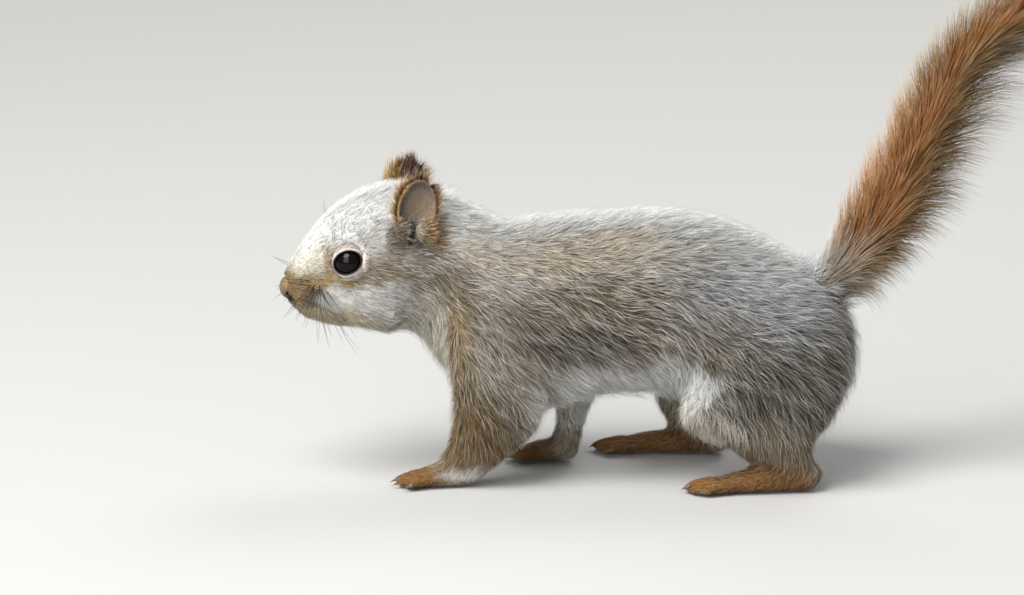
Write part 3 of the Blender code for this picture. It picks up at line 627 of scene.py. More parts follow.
def sphere(segments, rings, radius=1.0):
    """A sphere with its faces put in order, as the order that it comes with varies between runs."""
    ball = added(
        bpy.ops.mesh.primitive_uv_sphere_add, segments=segments, ring_count=rings, radius=radius
    )
    points = [vertex.co.copy() for vertex in ball.data.vertices]
    faces = [list(face.vertices) for face in ball.data.polygons]
    firsts = [face.index(min(face)) for face in faces]
    faces = sorted(face[first:] + face[:first] for face, first in zip(faces, firsts))
    ball.data.clear_geometry()
    ball.data.from_pydata(points, [], faces)
    return ball


def edited(thing, *steps):
    """Runs steps in edit mode, each one on the whole mesh."""
    select_only(thing)
    bpy.ops.object.mode_set(mode="EDIT")
    for operator, settings in steps:
        bpy.ops.mesh.select_all(action="SELECT")
        operator(**settings)
    bpy.ops.object.mode_set(mode="OBJECT")
    return thing


def delete_points(thing, gone):
    """Deletes the points that a mask marks, with their faces."""
    edited(thing, (bpy.ops.mesh.select_all, {"action": "DESELECT"}))
    thing.data.vertices.foreach_set("select", gone)
    bpy.ops.object.mode_set(mode="EDIT")
    bpy.ops.mesh.delete(type="VERT")
    bpy.ops.object.mode_set(mode="OBJECT")


def apply_modifier(thing, kind, **settings):
    select_only(thing)
    modifier = thing.modifiers.new(kind.lower(), kind)
    for name, value in settings.items():
        setattr(modifier, name, value)
    bpy.ops.object.modifier_apply(modifier=modifier.name)


def named(name, thing):
    thing.name = thing.data.name = name
    return thing


def joined(name, things):
    select_only(*things)
    bpy.ops.object.join()
    return named(name, things[0])


def read(rows, name, width, kind=np.float32):
    """One value of each row of a mesh's data, as an array."""
    flat = np.empty(len(rows) * width, kind)
    rows.foreach_get(name, flat)
    return flat.reshape(-1, width)


def points_of(thing):
    """The places of a mesh's points, in millimetres."""
    return read(thing.data.vertices, "co", 3).astype(float) / MM


def normals_of(thing):
    return read(thing.data.vertex_normals, "vector", 3).astype(float)


def edges_of(thing):
    return read(thing.data.edges, "vertices", 2, np.int32)


def triangles_of(thing):
    thing.data.calc_loop_triangles()
    return read(thing.data.loop_triangles, "vertices", 3, np.int32)


def forms_of(skin):
    return read(skin.data.attributes["Form"].data, "value", 1, np.int32)[:, 0]


def move_points(thing, points):
    thing.data.vertices.foreach_set("co", (points * MM).astype(np.float32).ravel())
    thing.data.update()


def relaxed(values, edges, rounds=2, share=0.5):
    """Each value drawn towards the mean of its neighbours."""
    first, second = edges.T
    count = np.bincount(edges.ravel(), minlength=len(values))[:, None]

    def gathered(column):
        onto_first = np.bincount(first, column[second], len(column))
        return onto_first + np.bincount(second, column[first], len(column))

    for _ in range(rounds):
        total = np.stack([gathered(column) for column in values.T], axis=1)
        values = values + (total / np.maximum(count, 1) - values) * share
    return values


def copied(thing):
    """A copy of an object with a mesh of its own."""
    copy = thing.copy()
    copy.data = thing.data.copy()
    bpy.context.scene.collection.objects.link(copy)
    return copy


def flesh_copy(node):
    """A closed copy of a node, swollen a little so that it meets its neighbours."""
    thing = copied(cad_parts[node])
    thing.parent = None
    thing.hide_render = thing.hide_viewport = False
    for key in list(thing.keys()):
        del thing[key]
    edited(thing, (bpy.ops.mesh.remove_doubles, {"threshold": MERGED}))
    thing.data.materials.clear()
    move_points(thing, points_of(thing) + normals_of(thing) * SWELL)
    return thing


def mark(thing, number):
    """Writes which form of the skin a shell's points belong to, which stays when it is joined on."""
    layer = thing.data.attributes.new("Form", "INT", "POINT")
    layer.data.foreach_set("value", np.full(len(thing.data.vertices), number, np.int32))


def finish_piece(thing, finish, slot, *nodes):
    """Gives a piece its material, and names the body and nodes that go with it. Its slot is not used."""
    thing.data.materials.clear()
    thing.data.materials.append(finish)
    thing.data.shade_smooth()
    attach(thing, "root")
    if nodes:
        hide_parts(*nodes)


def store_colours(mesh, rgb):
    """Writes one colour for each point to the attribute that the coat and skin materials read."""
    layer = mesh.attributes.new("Fur", "FLOAT_COLOR", "POINT")
    rgba = np.ones((len(rgb), 4), np.float32)
    rgba[:, :3] = rgb
    layer.data.foreach_set("color", rgba.ravel())


# Materials


class Value:
    """A socket that Python's operators work on, by adding Math nodes."""

    def __init__(self, shader, socket):
        self.shader = shader
        self.socket = socket

    def maths(self, operation, *values):
        node = self.shader.add("ShaderNodeMath", {"operation": operation}, dict(enumerate(values)))
        return Value(self.shader, node.outputs[0])

    def __add__(self, other):
        return self.maths("ADD", self, other)

    def __radd__(self, other):
        return self.maths("ADD", other, self)

    def __mul__(self, other):
        return self.maths("MULTIPLY", self, other)

    def __rmul__(self, other):
        return self.maths("MULTIPLY", other, self)


class Shader:
    """A new material's node tree, which ends in a Principled BSDF."""

    def __init__(self, name, **constants):
        self.material = bpy.data.materials.new(name)
        self.material.use_nodes = True
        self.tree = self.material.node_tree
        self.surface = self.tree.nodes["Principled BSDF"]
        for socket, value in constants.items():
            self.surface.inputs[socket.replace("_", " ")].default_value = value

    def add(self, kind, settings, sockets):
        node = self.tree.nodes.new(kind)
        for name, value in settings.items():
            setattr(node, name, value)
        for name, value in sockets.items():
            self.feed(node.inputs[name], value)
        return node

    def feed(self, socket, value):
        if isinstance(value, Value):
            self.tree.links.new(value.socket, socket)
        elif isinstance(value, bpy.types.NodeSocket):
            self.tree.links.new(value, socket)
        else:
            socket.default_value = value

    def value(self, node, output=0):
        return Value(self, node.outputs[output])

    def fur(self):
        """The colours that are painted on the piece."""
        return self.add("ShaderNodeAttribute", {"attribute_name": "Fur"}, {}).outputs["Color"]

    def place(self):
        return self.add("ShaderNodeTexCoord", {}, {}).outputs["Object"]

    def noise(self, scale, detail=3.0):
        """Noise in the object's own coordinates."""
        sockets = {"Vector": self.place(), "Scale": scale, "Detail": detail}
        return self.value(self.add("ShaderNodeTexNoise", {}, sockets), "Fac")

    def mixed(self, factor, first, second):
        """Two colours mixed."""
        settings = {"data_type": "RGBA", "blend_type": "MIX"}
        sockets = {0: factor, 6: (*first, 1.0), 7: (*second, 1.0)}
        return self.add("ShaderNodeMix", settings, sockets).outputs[2]

    def tinted(self, colour, low, high, noise):
        """A colour made darker or lighter by noise."""
        scale = self.add("ShaderNodeMapRange", {}, {"Value": noise, "To Min": low, "To Max": high})
        settings = {"operation": "SCALE"}
        sockets = {"Vector": colour, "Scale": scale.outputs[0]}
        return self.add("ShaderNodeVectorMath", settings, sockets).outputs[0]

    def bump(self, height, strength, distance):
        sockets = {"Height": height, "Strength": strength, "Distance": distance}
        self.feed(self.surface.inputs["Normal"], self.add("ShaderNodeBump", {}, sockets).outputs[0])

    def set(self, **sockets):
        for name, value in sockets.items():
            self.feed(self.surface.inputs[name.replace("_", " ")], value)


def material(name, make):
    return bpy.data.materials.get(name) or make(name)


def fur_material(name):
    shader = Shader(name, Specular_IOR_Level=0.12)
    noise = shader.noise(900.0)
    shader.set(Base_Color=shader.tinted(shader.fur(), 0.86, 1.14, noise), Roughness=0.5 + noise * 0.25)
    return shader.material


def skin_material(name):
    shader = Shader(name, Specular_IOR_Level=0.08)
    noise = shader.noise(1400.0, 5.0)
    shader.set(Base_Color=shader.tinted(shader.fur(), 0.7, 1.2, noise), Roughness=0.6 + noise * 0.3)
    shader.bump(noise, 0.6, 0.0003)
    return shader.material


def eye_material(name):
    """A dark, faintly mottled iris under a clear wet surface."""
    shader = Shader(name, Coat_Weight=0.75, Coat_Roughness=0.02, Coat_IOR=1.3, Specular_IOR_Level=0.0)
    noise = shader.noise(700.0)
    shader.set(Base_Color=shader.mixed(noise, colours().iris, (0.0015, 0.001, 0.001)))
    shader.set(Roughness=0.08 + noise * 0.04)
    return shader.material


def nose_material(name):
    """Bare skin that is grained like leather."""
    shader = Shader(name, Specular_IOR_Level=0.2)
    sockets = {"Vector": shader.place(), "Scale": 2600.0}
    cells = shader.add("ShaderNodeTexVoronoi", {"feature": "DISTANCE_TO_EDGE"}, sockets)
    noise = shader.noise(600.0)
    shader.set(Base_Color=shader.tinted(shader.fur(), 0.7, 1.3, noise), Roughness=0.42 + noise * 0.25)
    shader.bump(shader.value(cells, "Distance"), 0.5, 0.0001)
    return shader.material


def claw_material(name):
    shader = Shader(name, Specular_IOR_Level=0.5)
    noise = shader.noise(500.0)
    shader.set(Base_Color=shader.mixed(noise, colours().claw, (0.2, 0.14, 0.09)))
    shader.set(Roughness=0.28 + noise * 0.2)
    shader.bump(noise, 0.2, 0.0001)
    return shader.material


def whisker_material(name):
    shader = Shader(name, Specular_IOR_Level=0.5)
    noise = shader.noise(300.0)
    shader.set(Base_Color=shader.mixed(noise, colours().dark, (0.05, 0.035, 0.028)))
    shader.set(Roughness=0.3 + noise * 0.15)
    return shader.material


def floor_material(name):
    shader = Shader(name, Specular_IOR_Level=0.2)
    noise = shader.noise(3.0, 6.0)
    shader.set(Base_Color=shader.mixed(noise * 0.12, colours().floor, (0.52, 0.51, 0.49)))
    shader.set(Roughness=0.8 + noise * 0.1)
    return shader.material


# Skin


def outer_form():
    """The whole animal out to the tips of its coat, as one closed surface."""
    whole = joined("outer", [flesh_copy(node) for node in FLESH if node not in EARS])
    apply_modifier(whole, "REMESH", mode="VOXEL", voxel_size=OUTER_VOXEL * MM)
    return whole


def tail_core():
    """The thin tail inside the brush: a tube along its line, thinner towards the end."""
    line, _ = tail_line(40)
    half = sizes().core * MM
    curve = added(bpy.ops.curve.primitive_nurbs_path_add)
    curve.data.splines.clear()
    spline = curve.data.splines.new("POLY")
    spline.points.add(len(line) - 1)
    for point, place, share in zip(spline.points, line * MM, np.linspace(0, 1, len(line))):
        point.co = (*place, 1)
        point.radius = 1.6 - 1.35 * share
    curve.data.bevel_depth = half
    curve.data.bevel_resolution = 4
    curve.data.use_fill_caps = True
    select_only(curve)
    bpy.ops.object.convert(target="MESH")
    core = bpy.context.view_layer.objects.active
    apply_modifier(core, "WELD", merge_threshold=0.00001)
    return core


def sink(thing, steps=5):
    """Moves a form's surface in by the depth of the coat, step by step so that it stays smooth."""
    _, depth, _, _ = combed(points_of(thing))
    edges = edges_of(thing)
    depth = relaxed(depth[:, None], edges, rounds=6)
    for _ in range(steps):
        outward = unit(relaxed(normals_of(thing), edges))
        moved = points_of(thing) - outward * (depth + SWELL) / steps
        soft = relaxed(moved, edges)
        move_points(thing, moved + (soft - moved) * np.clip(depth / 3, 0.08, 1))


def lid(eye):
    """A thin shell round the eyeball, with an almond-shaped opening."""
    look, ahead, above = eye_axes(eye)
    ball = np.ptp(np.array(box(eye)), axis=0).mean() / 2
    shell = sphere(56, 40)
    height = points_of(shell)[:, 2] * MM
    first, last = math.cos(math.radians(40)) + 0.001, -0.2
    delete_points(shell, (height > first) | (height < last))
    points = points_of(shell) * MM
    polar = np.arccos(np.clip(points[:, 2], -1, 1))
    around = np.arctan2(points[:, 1], points[:, 0])
    wide, high = sizes().opening_length, sizes().opening_height
    corner = 1 + 0.14 * np.clip(np.cos(around), 0, 1) ** 8
    edge = np.hypot(np.cos(around) / wide, np.sin(around) / high) ** -1 * corner
    last = polar.max()
    share = (polar - polar.min()) / (last - polar.min())
    polar = edge + (last - edge) * share
    roll = 0.16 * np.exp(-(((polar - edge) / 0.16) ** 2))
    radius = ball + 0.12 + sizes().lid + roll
    placed = radius[:, None] * (
        np.sin(polar)[:, None] * (np.cos(around)[:, None] * ahead + np.sin(around)[:, None] * above)
        + np.cos(polar)[:, None] * look
    )
    move_points(shell, centre(eye) + placed)
    close_up(shell, sizes().lid)
    mark(shell, LID)
    return shell


def ear_axes(ear):
    """An ear's middle, its own axes as columns (back, right, up) and the side that it is on."""
    side = RIGHT if ear == EARS[1] else LEFT
    low, high = box(ear)
    about_z, about_y, about_x = EAR_TURNS
    turn = (
        Matrix.Rotation(math.radians(side * about_z), 3, "Z")
        @ Matrix.Rotation(math.radians(about_y), 3, "Y")
        @ Matrix.Rotation(math.radians(side * about_x), 3, "X")
    )
    return (low + high) / 2, np.array(turn), side


def ear_shell(ear):
    """A cupped ear, open to its own side."""
    middle, axes, side = ear_axes(ear)
    shell = sphere(56, 40)
    delete_points(shell, points_of(shell)[:, 1] * MM > 0.2)
    points = points_of(shell) * MM
    below = smoothstep(-0.1, -1.0, points[:, 2])
    points[:, 0] *= 1 - 0.32 * below - 0.06 * smoothstep(0.5, 1.0, points[:, 2])
    shaped = (points * EAR_SIZE + EAR_SHIFT) * (1, side, 1)
    move_points(shell, middle + shaped @ axes.T)
    close_up(shell, EAR_THICKNESS)
    mark(shell, EAR)
    return shell


def ear_lobe(ear, along, size):
    """A furry lobe at the foot of an ear's opening, so far behind the ear's middle."""
    middle, axes, side = ear_axes(ear)
    lobe = sphere(32, 24)
    points = points_of(lobe) * MM * size
    move_points(lobe, middle + (points + (along, 0.5 * side, -6.6)) @ axes.T)
    mark(lobe, LOBE)
    return lobe


def close_up(shell, thickness):
    """Turns an open shell's faces outward and gives it a thickness, in millimetres."""
    edited(shell, (bpy.ops.mesh.normals_make_consistent, {"inside": False}))
    apply_modifier(shell, "SOLIDIFY", thickness=thickness * MM, offset=-1)


def without_collar(rump):
    """Cuts off the collar where the tail leaves the rump, too thin to sink, and the rear below it."""
    cuts = []
    for along, up, way in REAR_CUTS:
        place = spots("rump", along, 0.0, up)[0][1] * MM
        cuts.append({"plane_co": place, "plane_no": way, "use_fill": True, "clear_outer": True})
    return edited(rump, *[(bpy.ops.mesh.bisect, cut) for cut in cuts])


def part_toes(points):
    """Presses furrows between the toes into the feet."""
    for foot, toes in TOES.items():
        for side in SIDES.values():
            name = f"{foot}_{side}"
            low, high = box(name)
            x, y, z = points.T
            reach = low[0] + 0.36 * (high[0] - low[0])
            near = (np.abs(y - (low[1] + high[1]) / 2) < (high[1] - low[1]) / 2 + 2) & (z > 0.5)
            front = smoothstep(reach, reach - 2.5, x) * (x > low[0] - 4) * near
            across = np.sort([tip[1] for tip in toe_tips(name, toes)])
            gaps = (across[1:] + across[:-1]) / 2
            furrow = np.exp(-(((y[:, None] - gaps) / 0.6) ** 2)).max(axis=1) * front
            points[:, 2] -= 1.7 * furrow * smoothstep(0.4, 3.0, z)
            points[:, 0] += 1.6 * furrow * smoothstep(low[0] + 4, low[0], x)
    return points


class SQUIRREL_OT_skin(Operator):
    """Makes one skin from the flesh nodes, inside them by the depth of the coat"""

    bl_idname = "squirrel.skin"
    bl_label = "Skin"

    def execute(self, context):
        voxel = sizes().voxel * MM
        rump = without_collar(flesh_copy("rump"))
        skin = joined("skin", [rump, *[flesh_copy(node) for node in BODY if node != "rump"]])
        apply_modifier(skin, "REMESH", mode="VOXEL", voxel_size=voxel)
        sink(skin)
        skin = joined("skin", [skin, tail_core()])
        apply_modifier(skin, "REMESH", mode="VOXEL", voxel_size=voxel)
        apply_modifier(skin, "SMOOTH", factor=0.5, iterations=3)
        points = part_toes(points_of(skin))
        points[:, 2] = np.maximum(points[:, 2], 0.0)
        move_points(skin, points)
        lobes = [ear_lobe(ear, *lobe) for ear in EARS for lobe in LOBES]
        skin = joined("skin", [skin, *map(lid, EYES), *map(ear_shell, EARS), *lobes])
        points = points_of(skin)
        bands = painted(points)
        forms = forms_of(skin)
        ears = forms == EAR
        bands[ears] = ear_painted(points[ears], normals_of(skin)[ears])
        store_colours(skin.data, bands[:, 0] * 0.5 + bands[:, 1] * 0.5)
        finish_piece(skin, material("Skin", skin_material), "grey_coat", *FLESH)
        return {"FINISHED"}


# Coat


class Ground:
    """The skin as a place for tufts to grow on: its nearest points and normals."""

    def __init__(self, skin):
        self.points = points_of(skin)
        self.triangles = triangles_of(skin)
        self.normals = unit(relaxed(normals_of(skin), edges_of(skin)))
        self.forms = forms_of(skin)[self.triangles[:, 0]]
        self.near = self.triangles[self.forms != EAR]
        self.tree = BVHTree.FromPolygons(self.points.tolist(), self.near.tolist())

    def middles(self):
        return self.points[self.triangles].mean(axis=1)

    def nearest(self, points):
        """The nearest points of the skin, leaving out the ears, and the normals there."""
        places = np.empty_like(points)
        faces = np.empty(len(points), int)
        find = self.tree.find_nearest
        for i, point in enumerate(points.tolist()):
            place, _, face, _ = find(point)
            places[i] = place
            faces[i] = face
        return places, unit(self.normals[self.near[faces]].mean(axis=1))

    def roots(self, density, seed, wanted):
        """Random places on the triangles that are wanted, and their normals."""
        random = np.random.default_rng(seed)
        corners = self.points[self.triangles]
        first, second = corners[:, 1] - corners[:, 0], corners[:, 2] - corners[:, 0]
        area = np.linalg.norm(np.cross(first, second), axis=1) / 2 * wanted
        count = int(area.sum() * density)
        face = random.choice(len(area), count, p=area / area.sum())
        a, b = random.random((2, count))
        flip = a + b > 1
        a[flip], b[flip] = 1 - a[flip], 1 - b[flip]
        weights = np.stack([1 - a - b, a, b], axis=1)[:, :, None]
        places = (corners[face] * weights).sum(axis=1)
        return places, unit((self.normals[self.triangles[face]] * weights).sum(axis=1))


class Unwrap:
    """A flat map of the skin's own shape, which gives each tuft its place in the OFBake map."""

    def __init__(self, skin):
        shape = copied(skin)
        apply_modifier(shape, "DECIMATE", ratio=MAP_TRIANGLES / len(triangles_of(shape)))
        spread = {"angle_limit": math.radians(66), "island_margin": 0.004}
        edited(shape, (bpy.ops.uv.smart_project, spread))
        points = points_of(shape)
        triangles = triangles_of(shape)
        loops = read(shape.data.loop_triangles, "loops", 3, np.int32)
        self.corners = points[triangles]
        self.flat = read(shape.data.uv_layers.active.data, "uv", 2)[loops].astype(float)
        self.tree = BVHTree.FromPolygons(points.tolist(), triangles.tolist())
        bpy.data.objects.remove(shape, do_unlink=True)

    def at(self, points):
        found = [self.tree.find_nearest(point) for point in points.tolist()]
        face = np.array([hit[2] for hit in found])
        place = np.array([hit[0] for hit in found])
        a, b, c = (self.corners[face, k] for k in range(3))
        area = np.linalg.norm(np.cross(b - a, c - a), axis=1)
        second = np.linalg.norm(np.cross(place - a, c - a), axis=1) / np.maximum(area, 1e-9)
        third = np.linalg.norm(np.cross(b - a, place - a), axis=1) / np.maximum(area, 1e-9)
        weights = np.stack([1 - second - third, second, third], axis=1)
        return (self.flat[face] * weights[:, :, None]).sum(axis=1)


def hair_faces(rings):
    """The faces of one closed three-sided hair, from the numbers of its points, root to tip."""
    faces = [(0, 1, 2)]
    last = (rings - 1) * 3
    for ring in range(0, last, 3):
        for k in range(3):
            a, b = ring + k, ring + (k + 1) % 3
            faces.append((b, a, a + 3, b + 3))
    return faces + [(last + (k + 1) % 3, last + k, last + 3) for k in range(3)]


def for_each(pattern, count, step):
    """A row of numbers repeated for each hair, each time a step further on."""
    return (pattern[None] + np.arange(count)[:, None] * step).ravel().astype(np.int32)


def hair_points(spine, widths, outward):
    """Rings of three points round each hair's spine, narrower towards the tip, and the tip itself."""
    count, rings = len(spine), spine.shape[1] - 1
    along = unit(np.gradient(spine, axis=1))
    across = unit(np.cross(along, outward[:, None, :]))
    above = np.cross(across, along)
    angles = np.radians((90, 210, 330))
    side = np.cos(angles)[None, None, :, None] * across[:, :rings, None, :]
    rise = FLATNESS * np.sin(angles)[None, None, :, None] * above[:, :rings, None, :]
    reach = (widths[:, None] / 2 * np.linspace(1.0, 0.45, rings)[None])[:, :, None, None]
    ringed = spine[:, :rings, None, :] + (side + rise) * reach
    return np.concatenate([ringed.reshape(count, rings * 3, 3), spine[:, -1:, :]], axis=1)


def hair_map(rings, loops):
    """Where the corners of one hair lie in its own small flat map, round its place in the skin's."""
    level = np.repeat(np.linspace(-0.35, 0.25, rings), 3) + np.tile((0.0, -0.15, -0.15), rings)
    aside = np.tile((0.0, -0.5, 0.5), rings)
    spread = np.stack([np.append(aside, 0.0), np.append(level, 0.5)], axis=1)
    return spread[loops] * PATCH


def strands(name, spine, widths, outward, colour, flat):
    """One mesh of closed three-sided hairs.

    The spine has each hair's points from root to tip, and the colour one for each of them.
    """
    count, rings = len(spine), spine.shape[1] - 1
    points = hair_points(spine, widths, outward)
    faces = hair_faces(rings)
    loops = np.array([corner for face in faces for corner in face])
    starts = np.cumsum([0] + [len(face) for face in faces[:-1]])
    mesh = bpy.data.meshes.new(name)
    mesh.vertices.add(count * points.shape[1])
    mesh.vertices.foreach_set("co", (points * MM).astype(np.float32).ravel())
    mesh.loops.add(count * len(loops))
    mesh.loops.foreach_set("vertex_index", for_each(loops, count, points.shape[1]))
    mesh.polygons.add(count * len(faces))
    mesh.polygons.foreach_set("loop_start", for_each(starts, count, len(loops)))
    flat = np.clip(flat, PATCH, 1 - PATCH)[:, None, :] + hair_map(rings, loops)[None]
    layer = mesh.uv_layers.new(name="OFBake")
    layer.data.foreach_set("uv", flat.astype(np.float32).ravel())
    ringed = np.repeat(colour[:, :rings], 3, axis=1)
    store_colours(mesh, np.concatenate([ringed, colour[:, -1:]], axis=1).reshape(-1, 3))
    mesh.update(calc_edges=True)
    thing = bpy.data.objects.new(name, mesh)
    bpy.context.scene.collection.objects.link(thing)
    return thing


def footing():
    """The skin as ground for hair, and its flat map."""
    skin = bpy.data.objects["skin"]
    return Ground(skin), Unwrap(skin)


def grow(name, spine, widths, outward, colour, flat):
    """Makes one finished piece of the coat."""
    tufts = strands(name, spine, widths, outward, colour, flat)
    finish_piece(tufts, material("Fur", fur_material), SLOTS[name])


def ticked(bands, random, silvering, level=0.7):
    """Makes single hairs darker or more silver, and darkens those that lie low in the coat as painted
    shade.
    """
    count = len(bands)
    paleness = bands[:, 1].mean(axis=1)
    ticking = np.clip(1.9 - 2.0 * paleness, 0.28, 1)
    level = np.broadcast_to(level, count)
    fate = random.random(count)
    tone = random.normal(1.0, 0.3, count) * np.where(fate < 0.22, 0.35, 1.0)
    # Painted shade: the lower a hair lies in the coat, the darker it is.
    tone *= 0.6 + 0.55 * np.clip(level, 0, 1)
    bands = bands * (1 + (tone - 1) * ticking)[:, None, None]
    silver = smoothstep(0.5, 0.95, fate * (0.6 + 0.4 * level) + 0.5 * (level > 1)) * silvering * ticking
    levels = np.array((0.0, 0.6, 1.0))[None, : bands.shape[1], None]
    return np.clip(bands + (PALE_TIP * 0.9 - bands) * silver[:, None, None] * levels, 0.002, 0.96)


def laid_tufts(ground, places, normals, random, width):
    """Hairs of two lengths each that lie along the skin as the comb says, tips drawn into locks."""
    _, depth, hair, _ = combed(places)
    count = len(places)
    stray = random.random(count) < sizes().stray
    level = np.where(stray, 1.2, random.random(count))
    hair = hair * random.uniform(0.7, 1.15, count) * np.where(stray, 1.3, 1.0)
    hair *= 1 - 0.55 * by_ear(places)
    lift = np.minimum(depth, DEEPEST) * (0.5 + 0.5 * level) * np.where(stray, 1.35, 1.0)
    lift *= 1 - 0.3 * by_ear(places)
    unruly = ripple(places, 6.0, seed=5) * sizes().ruffle + random.normal(0, 0.2, (count, 3))
    unruly *= (np.clip(hair / 8, 0.2, 1) + 0.8 * by_ear(places))[:, None]
    spine = [places - normals * 0.3]
    here, up = places, normals
    for share, rise in ((0.5, 0.62), (0.5, 1.0)):
        flow, _, _, _ = combed(here)
        flow = unit(flow) + unruly
        way = unit(flow - up * (flow * up).sum(axis=1, keepdims=True))
        here, up = ground.nearest(here + way * (hair * share)[:, None])
        spine.append(here + up * (lift * rise)[:, None])
    spine = np.stack(spine, axis=1)
    draw_together(spine, places, depth)
    widths = width * random.uniform(0.7, 1.3, count) * np.where(stray, 0.75, 1.0)
    return spine, widths, level


def by_ear(points):
    """How near each point is to the lobes at the foot of an ear, from 0 to 1."""
    near = np.zeros(len(points))
    for ear in EARS:
        middle, _, _ = ear_axes(ear)
        away = np.linalg.norm(points - middle + (0.5, 0, 6.0), axis=1)
        near = np.maximum(near, smoothstep(9.0, 5.5, away))
    return near


def tree_of(points):
    """A tree that finds the nearest of the points."""
    tree = KDTree(len(points))
    for number, point in enumerate(points.tolist()):
        tree.insert(point, number)
    tree.balance()
    return tree


def draw_together(spine, places, depth, every=16):
    """Draws the middles and tips of neighbouring hairs towards one of them, into locks."""
    seeds = np.arange(0, len(places), every)
    tree = tree_of(places[seeds])
    home = seeds[np.array([tree.find(place)[1] for place in places.tolist()])]
    near = np.exp(-np.linalg.norm(places - places[home], axis=1) / 2.0)
    pull = sizes().clump * near * np.clip(depth / 3.5, 0.2, 1) ** 2
    lead = spine[home] + (places - places[home])[:, None, :] * 0.35
    spine[:, 1] += (lead[:, 1] - spine[:, 1]) * (pull * 0.4)[:, None]
    spine[:, 2] += (lead[:, 2] - spine[:, 2]) * pull[:, None]


def fringe(ground, node, start, end, way, length, random, count=260):
    """Loose hairs that hang free of the skin, rooted along a line on each side of the body."""
    spines = []
    for (side, first), (_, last) in zip(spots(node, *start), spots(node, *end)):
        wanted = first + (last - first) * random.random((count, 1)) + random.normal(0, 1.2, (count, 3))
        roots, normals = ground.nearest(wanted)
        near = np.linalg.norm(roots - wanted, axis=1) < 5.5
        roots, normals = roots[near], normals[near]
        flow = unit(np.array(way) * (1, side, 1) + random.normal(0, 0.14, roots.shape))
        reach = length * random.uniform(0.6, 1.1, (len(roots), 1))
        middle = roots + unit(flow + normals * 0.4) * reach * 0.5
        spines.append(np.stack([roots - normals * 0.3, middle, middle + flow * reach * 0.5], axis=1))
    return np.concatenate(spines)


def bald(points):
    """Where no hair grows: the eyes' openings, the nose pad and the soles."""
    eyes = eye_reach(points, 5.1, 4.05, 0.02)
    nose = np.linalg.norm((points - centre("nose")) / (2.1, 2.7, 2.7), axis=1)
    return (eyes > 0.5) | (nose < 1.0) | (points[:, 2] < 0.6)


def tail_reach(points):
    """How far along the tail's core each point is, from 0 to 1, and its distance from the core."""
    line, _ = tail_line()
    tree = tree_of(line)
    found = [tree.find(point) for point in points.tolist()]
    return np.array([hit[1] for hit in found]) / (len(line) - 1), np.array([hit[2] for hit in found])


def on_core(middles):
    """How far along the tail each place is, and whether it is on the tail's core."""
    share, away = tail_reach(middles)
    return share, (share > TAIL_START) & (away < TAIL_REACH)


class SQUIRREL_OT_coat(Operator):
    """Grows the coat of head, body, legs and feet, as pieces of solid tufts"""

    bl_idname = "squirrel.coat"
    bl_label = "Coat"

    def execute(self, context):
        ground, unwrap = footing()
        middles = ground.middles()
        node = GUIDES[4][combed(middles)[3]]
        _, on_tail = on_core(middles)
        open_skin = ~bald(middles) & ~on_tail & (ground.forms != EAR)
        for number, (name, (nodes, density, width, silver)) in enumerate(COAT.items()):
            random = np.random.default_rng(100 + number)
            places, normals = ground.roots(density, 200 + number, open_skin & np.isin(node, nodes))
            spine, widths, level = laid_tufts(ground, places, normals, random, width)
            bands = ticked(painted(spine[:, 1]), random, silver, level)
            grow(name, spine, widths, normals, bands, unwrap.at(places))
        return {"FINISHED"}


class SQUIRREL_OT_fringes(Operator):
    """Hangs loose hairs at the coat's edges: crown, nape, back, breast, groin and the tail's foot"""

    bl_idname = "squirrel.fringes"
    bl_label = "Fringes"

    def execute(self, context):
        ground, unwrap = footing()
        random = np.random.default_rng(61)
        spines, bands = [], []
        for fur, node, start, end, way, length in FRINGES:
            spines.append(fringe(ground, node, start, end, way, length, random))
            bands.append(np.repeat(fur_bands(fur)[None], len(spines[-1]), axis=0))
        spine = np.concatenate(spines)
        bands = ticked(np.concatenate(bands), random, 0.5)
        widths = FRINGE_WIDTH * random.uniform(0.7, 1.3, len(spine))
        outward = unit(spine[:, 1] - spine[:, 0] + random.normal(0, 0.3, (len(spine), 3)))
        across = unit(np.cross(outward, (0.0, 0.0, 1.0)))
        grow("coat_fringes", spine, widths, across, bands, unwrap.at(spine[:, 0]))
        return {"FINISHED"}


def ear_hairs(places, normals, random):
    """Short hairs in the ears' cups, longer ones along and behind their rims, and which are in a cup."""
    local, inner, rim = on_ear(places, normals)
    x, z = local[:, 0:1], local[:, 2]
    spread = unit(local * (1, 0, 1) + (0, 0, 5.0))
    back = np.array((0.25, 0.0, 0.9)) + spread * 0.6 + np.array((0.9, 0, -0.4)) * (x > 2.5)
    back += np.array((-0.7, 0, -0.2)) * (x < -2.5)
    flow = np.where(inner[:, None], spread, back) + ripple(places, 6.0, seed=43) * 0.15
    way = unit(flow - normals * (flow * normals).sum(axis=1, keepdims=True))
    high = smoothstep(-4.0, 9.0, z)
    aside = smoothstep(2.5, 6.0, np.abs(x[:, 0])) * smoothstep(10.0, 6.0, z)
    hair = np.where(inner, 1.2 + 0.6 * rim, 2.4 + 2.2 * high + 1.8 * aside)
    hair = (hair * random.uniform(0.6, 1.25, len(places)))[:, None]
    lift = np.where(inner, 0.15 + 0.3 * rim, 0.35 + 0.7 * high + 1.5 * aside)
    lift = (lift * random.uniform(0.4, 1.5, len(places)))[:, None]
    middles = places + way * (hair * 0.5) + normals * (lift * 0.6)
    tips = places + way * hair + normals * lift
    return np.stack([places - normals * 0.1, middles, tips], axis=1), inner


